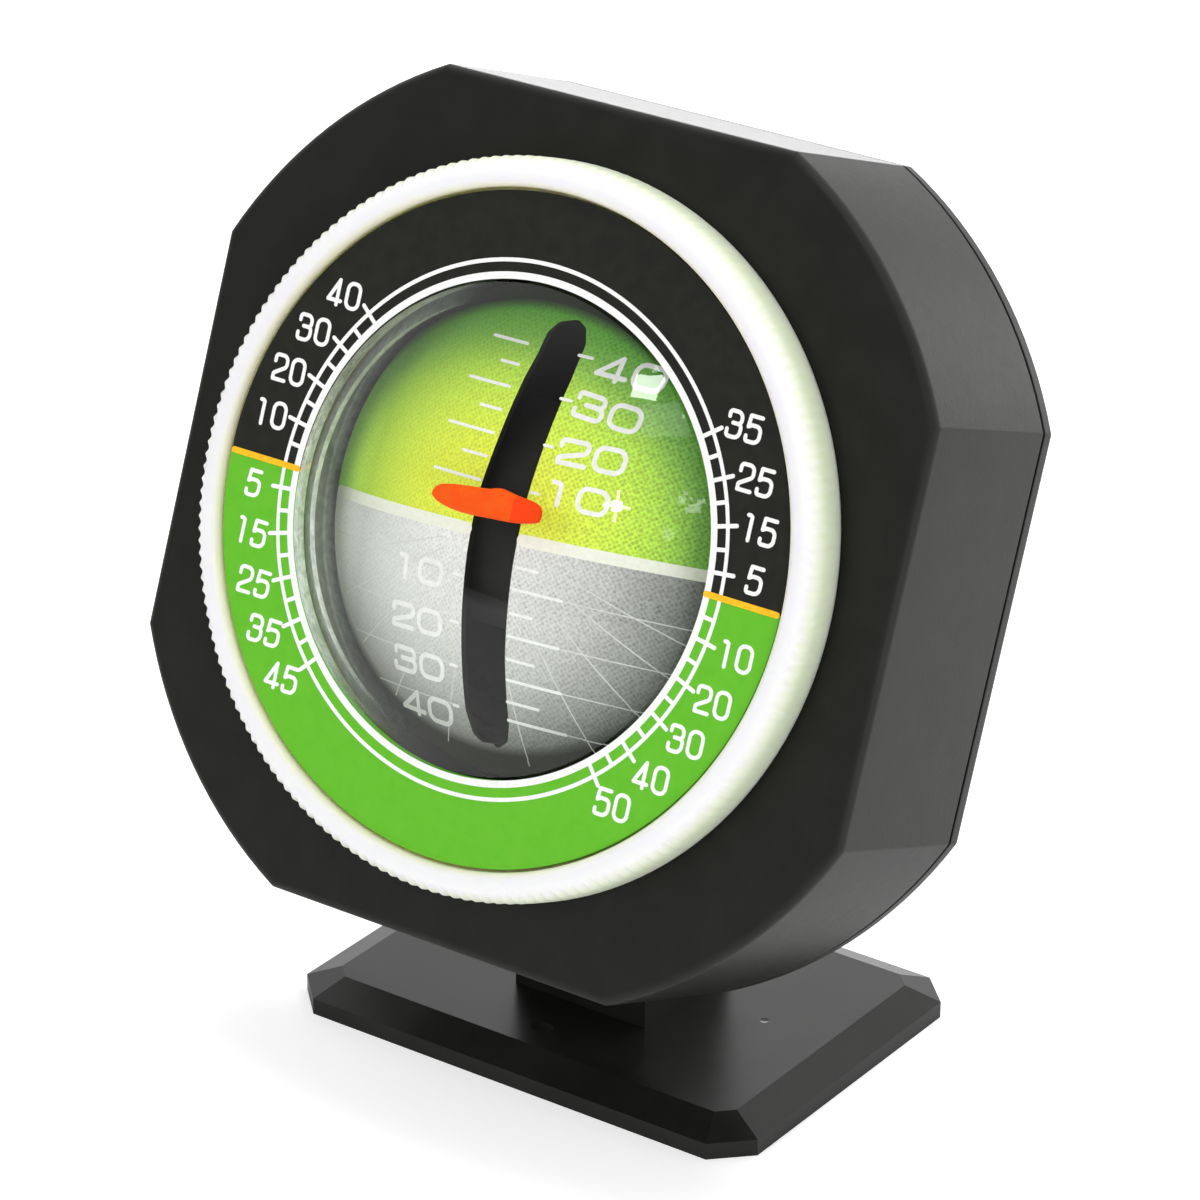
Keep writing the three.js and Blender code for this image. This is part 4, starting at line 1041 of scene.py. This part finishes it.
# Lamps that are only seen mirrored: the first three along the casing's edges, the others on the
# capsule. The bulb and its two rays make a star, and the specks share one brightness.
star, speck_glow = (0.21, -0.681, 0.483), 14
mirrored_lamps = [
    ("behind", (-0.35, 0.6, 0.08), (0.25, 0.25), 0.8),
    ("right", (0.8, -0.5, 0.1), (0.25, 0.4), 1.0), ("back", (0.35, 0.88, 0.2), (0.4, 0.4), 0.5),
    ("window", (0.111, -0.33, 0.809), (0.1, 0.1), 0.5),
    ("veil", (0.253, -0.379, 0.739), (0.22, 0.137), 0.13),
    ("glow", (0.423, -0.629, 0.399), (0.05, 0.05), 0.014)]
mirrored_lamps += [
    (f"speck_{number}", place, (size, size), speck_glow * size ** 2)
    for number, (place, size) in enumerate((
        ((0.43, -0.545, 0.52), 0.03), ((0.475, -0.53, 0.49), 0.036), ((0.45, -0.54, 0.478), 0.02),
        ((0.49, -0.515, 0.52), 0.02), ((0.44, -0.53, 0.55), 0.018),
        ((0.462, -0.526, 0.53), 0.014)), 1)]
mirrored_lamps += [
    ("bulb", star, (0.04, 0.04), 0.35), ("ray_1", star, (0.012, 0.13), 0.07),
    ("ray_2", star, (0.115, 0.012), 0.06), ("streak_1", (0.03, -0.2, 0.86), (0.06, 0.03), 0.04),
    ("streak_2", (0.12, -0.25, 0.84), (0.07, 0.03), 0.05),
    ("streak_3", (0.29, -0.335, 0.757), (0.05, 0.04), 0.04)]
for name, place, size, power in mirrored_lamps:
    lamp = soft_light("mirrored_" + name, place, size, power, True)
    if name == "glow":
        lamp.data.shape = "ELLIPSE"

# The world: white for the camera, plain fill for the object. What is mirrored is white behind the
# object and dim in front of it, as in a room whose pale sweep stands behind.
world = bpy.data.worlds.new("studio")
bpy.context.scene.world = world
world.use_nodes = True
tree = world.node_tree
tree.nodes.clear()
paths = node(tree, "LightPath")
way = node(tree, "SeparateXYZ", {0: node(tree, "TexCoord").outputs["Generated"]})
behind = node(tree, "MapRange", {
    "Value": way.outputs["Y"], "From Min": -0.7, "From Max": 0.1, "To Min": 0.12, "To Max": 1.0})
level = 0.5
for ray, strength in (("Transmission", 0.6), ("Glossy", behind), ("Camera", 1.0)):
    level = node(tree, "Mix", {"Factor": paths.outputs[f"Is {ray} Ray"], "A": level, "B": strength})
sky = node(tree, "Background", {"Color": (1, 1, 1, 1), "Strength": level})
node(tree, "OutputWorld", {"Surface": sky})

camera = placed("camera", bpy.data.cameras.new("camera"))
camera.data.lens, camera.data.sensor_width = 163.6, 36
camera.location = (0.2834, -0.4050, 0.2821)
aim = (Vector((-0.0034, 0.0003, 0.0454)) - camera.location).to_track_quat("-Z", "Y")
camera.rotation_euler = (aim.to_matrix() @ Matrix.Rotation(radians(0.349), 3, "Z")).to_euler()
bpy.context.scene.camera = camera
bpy.context.scene.view_settings.view_transform = "Standard"
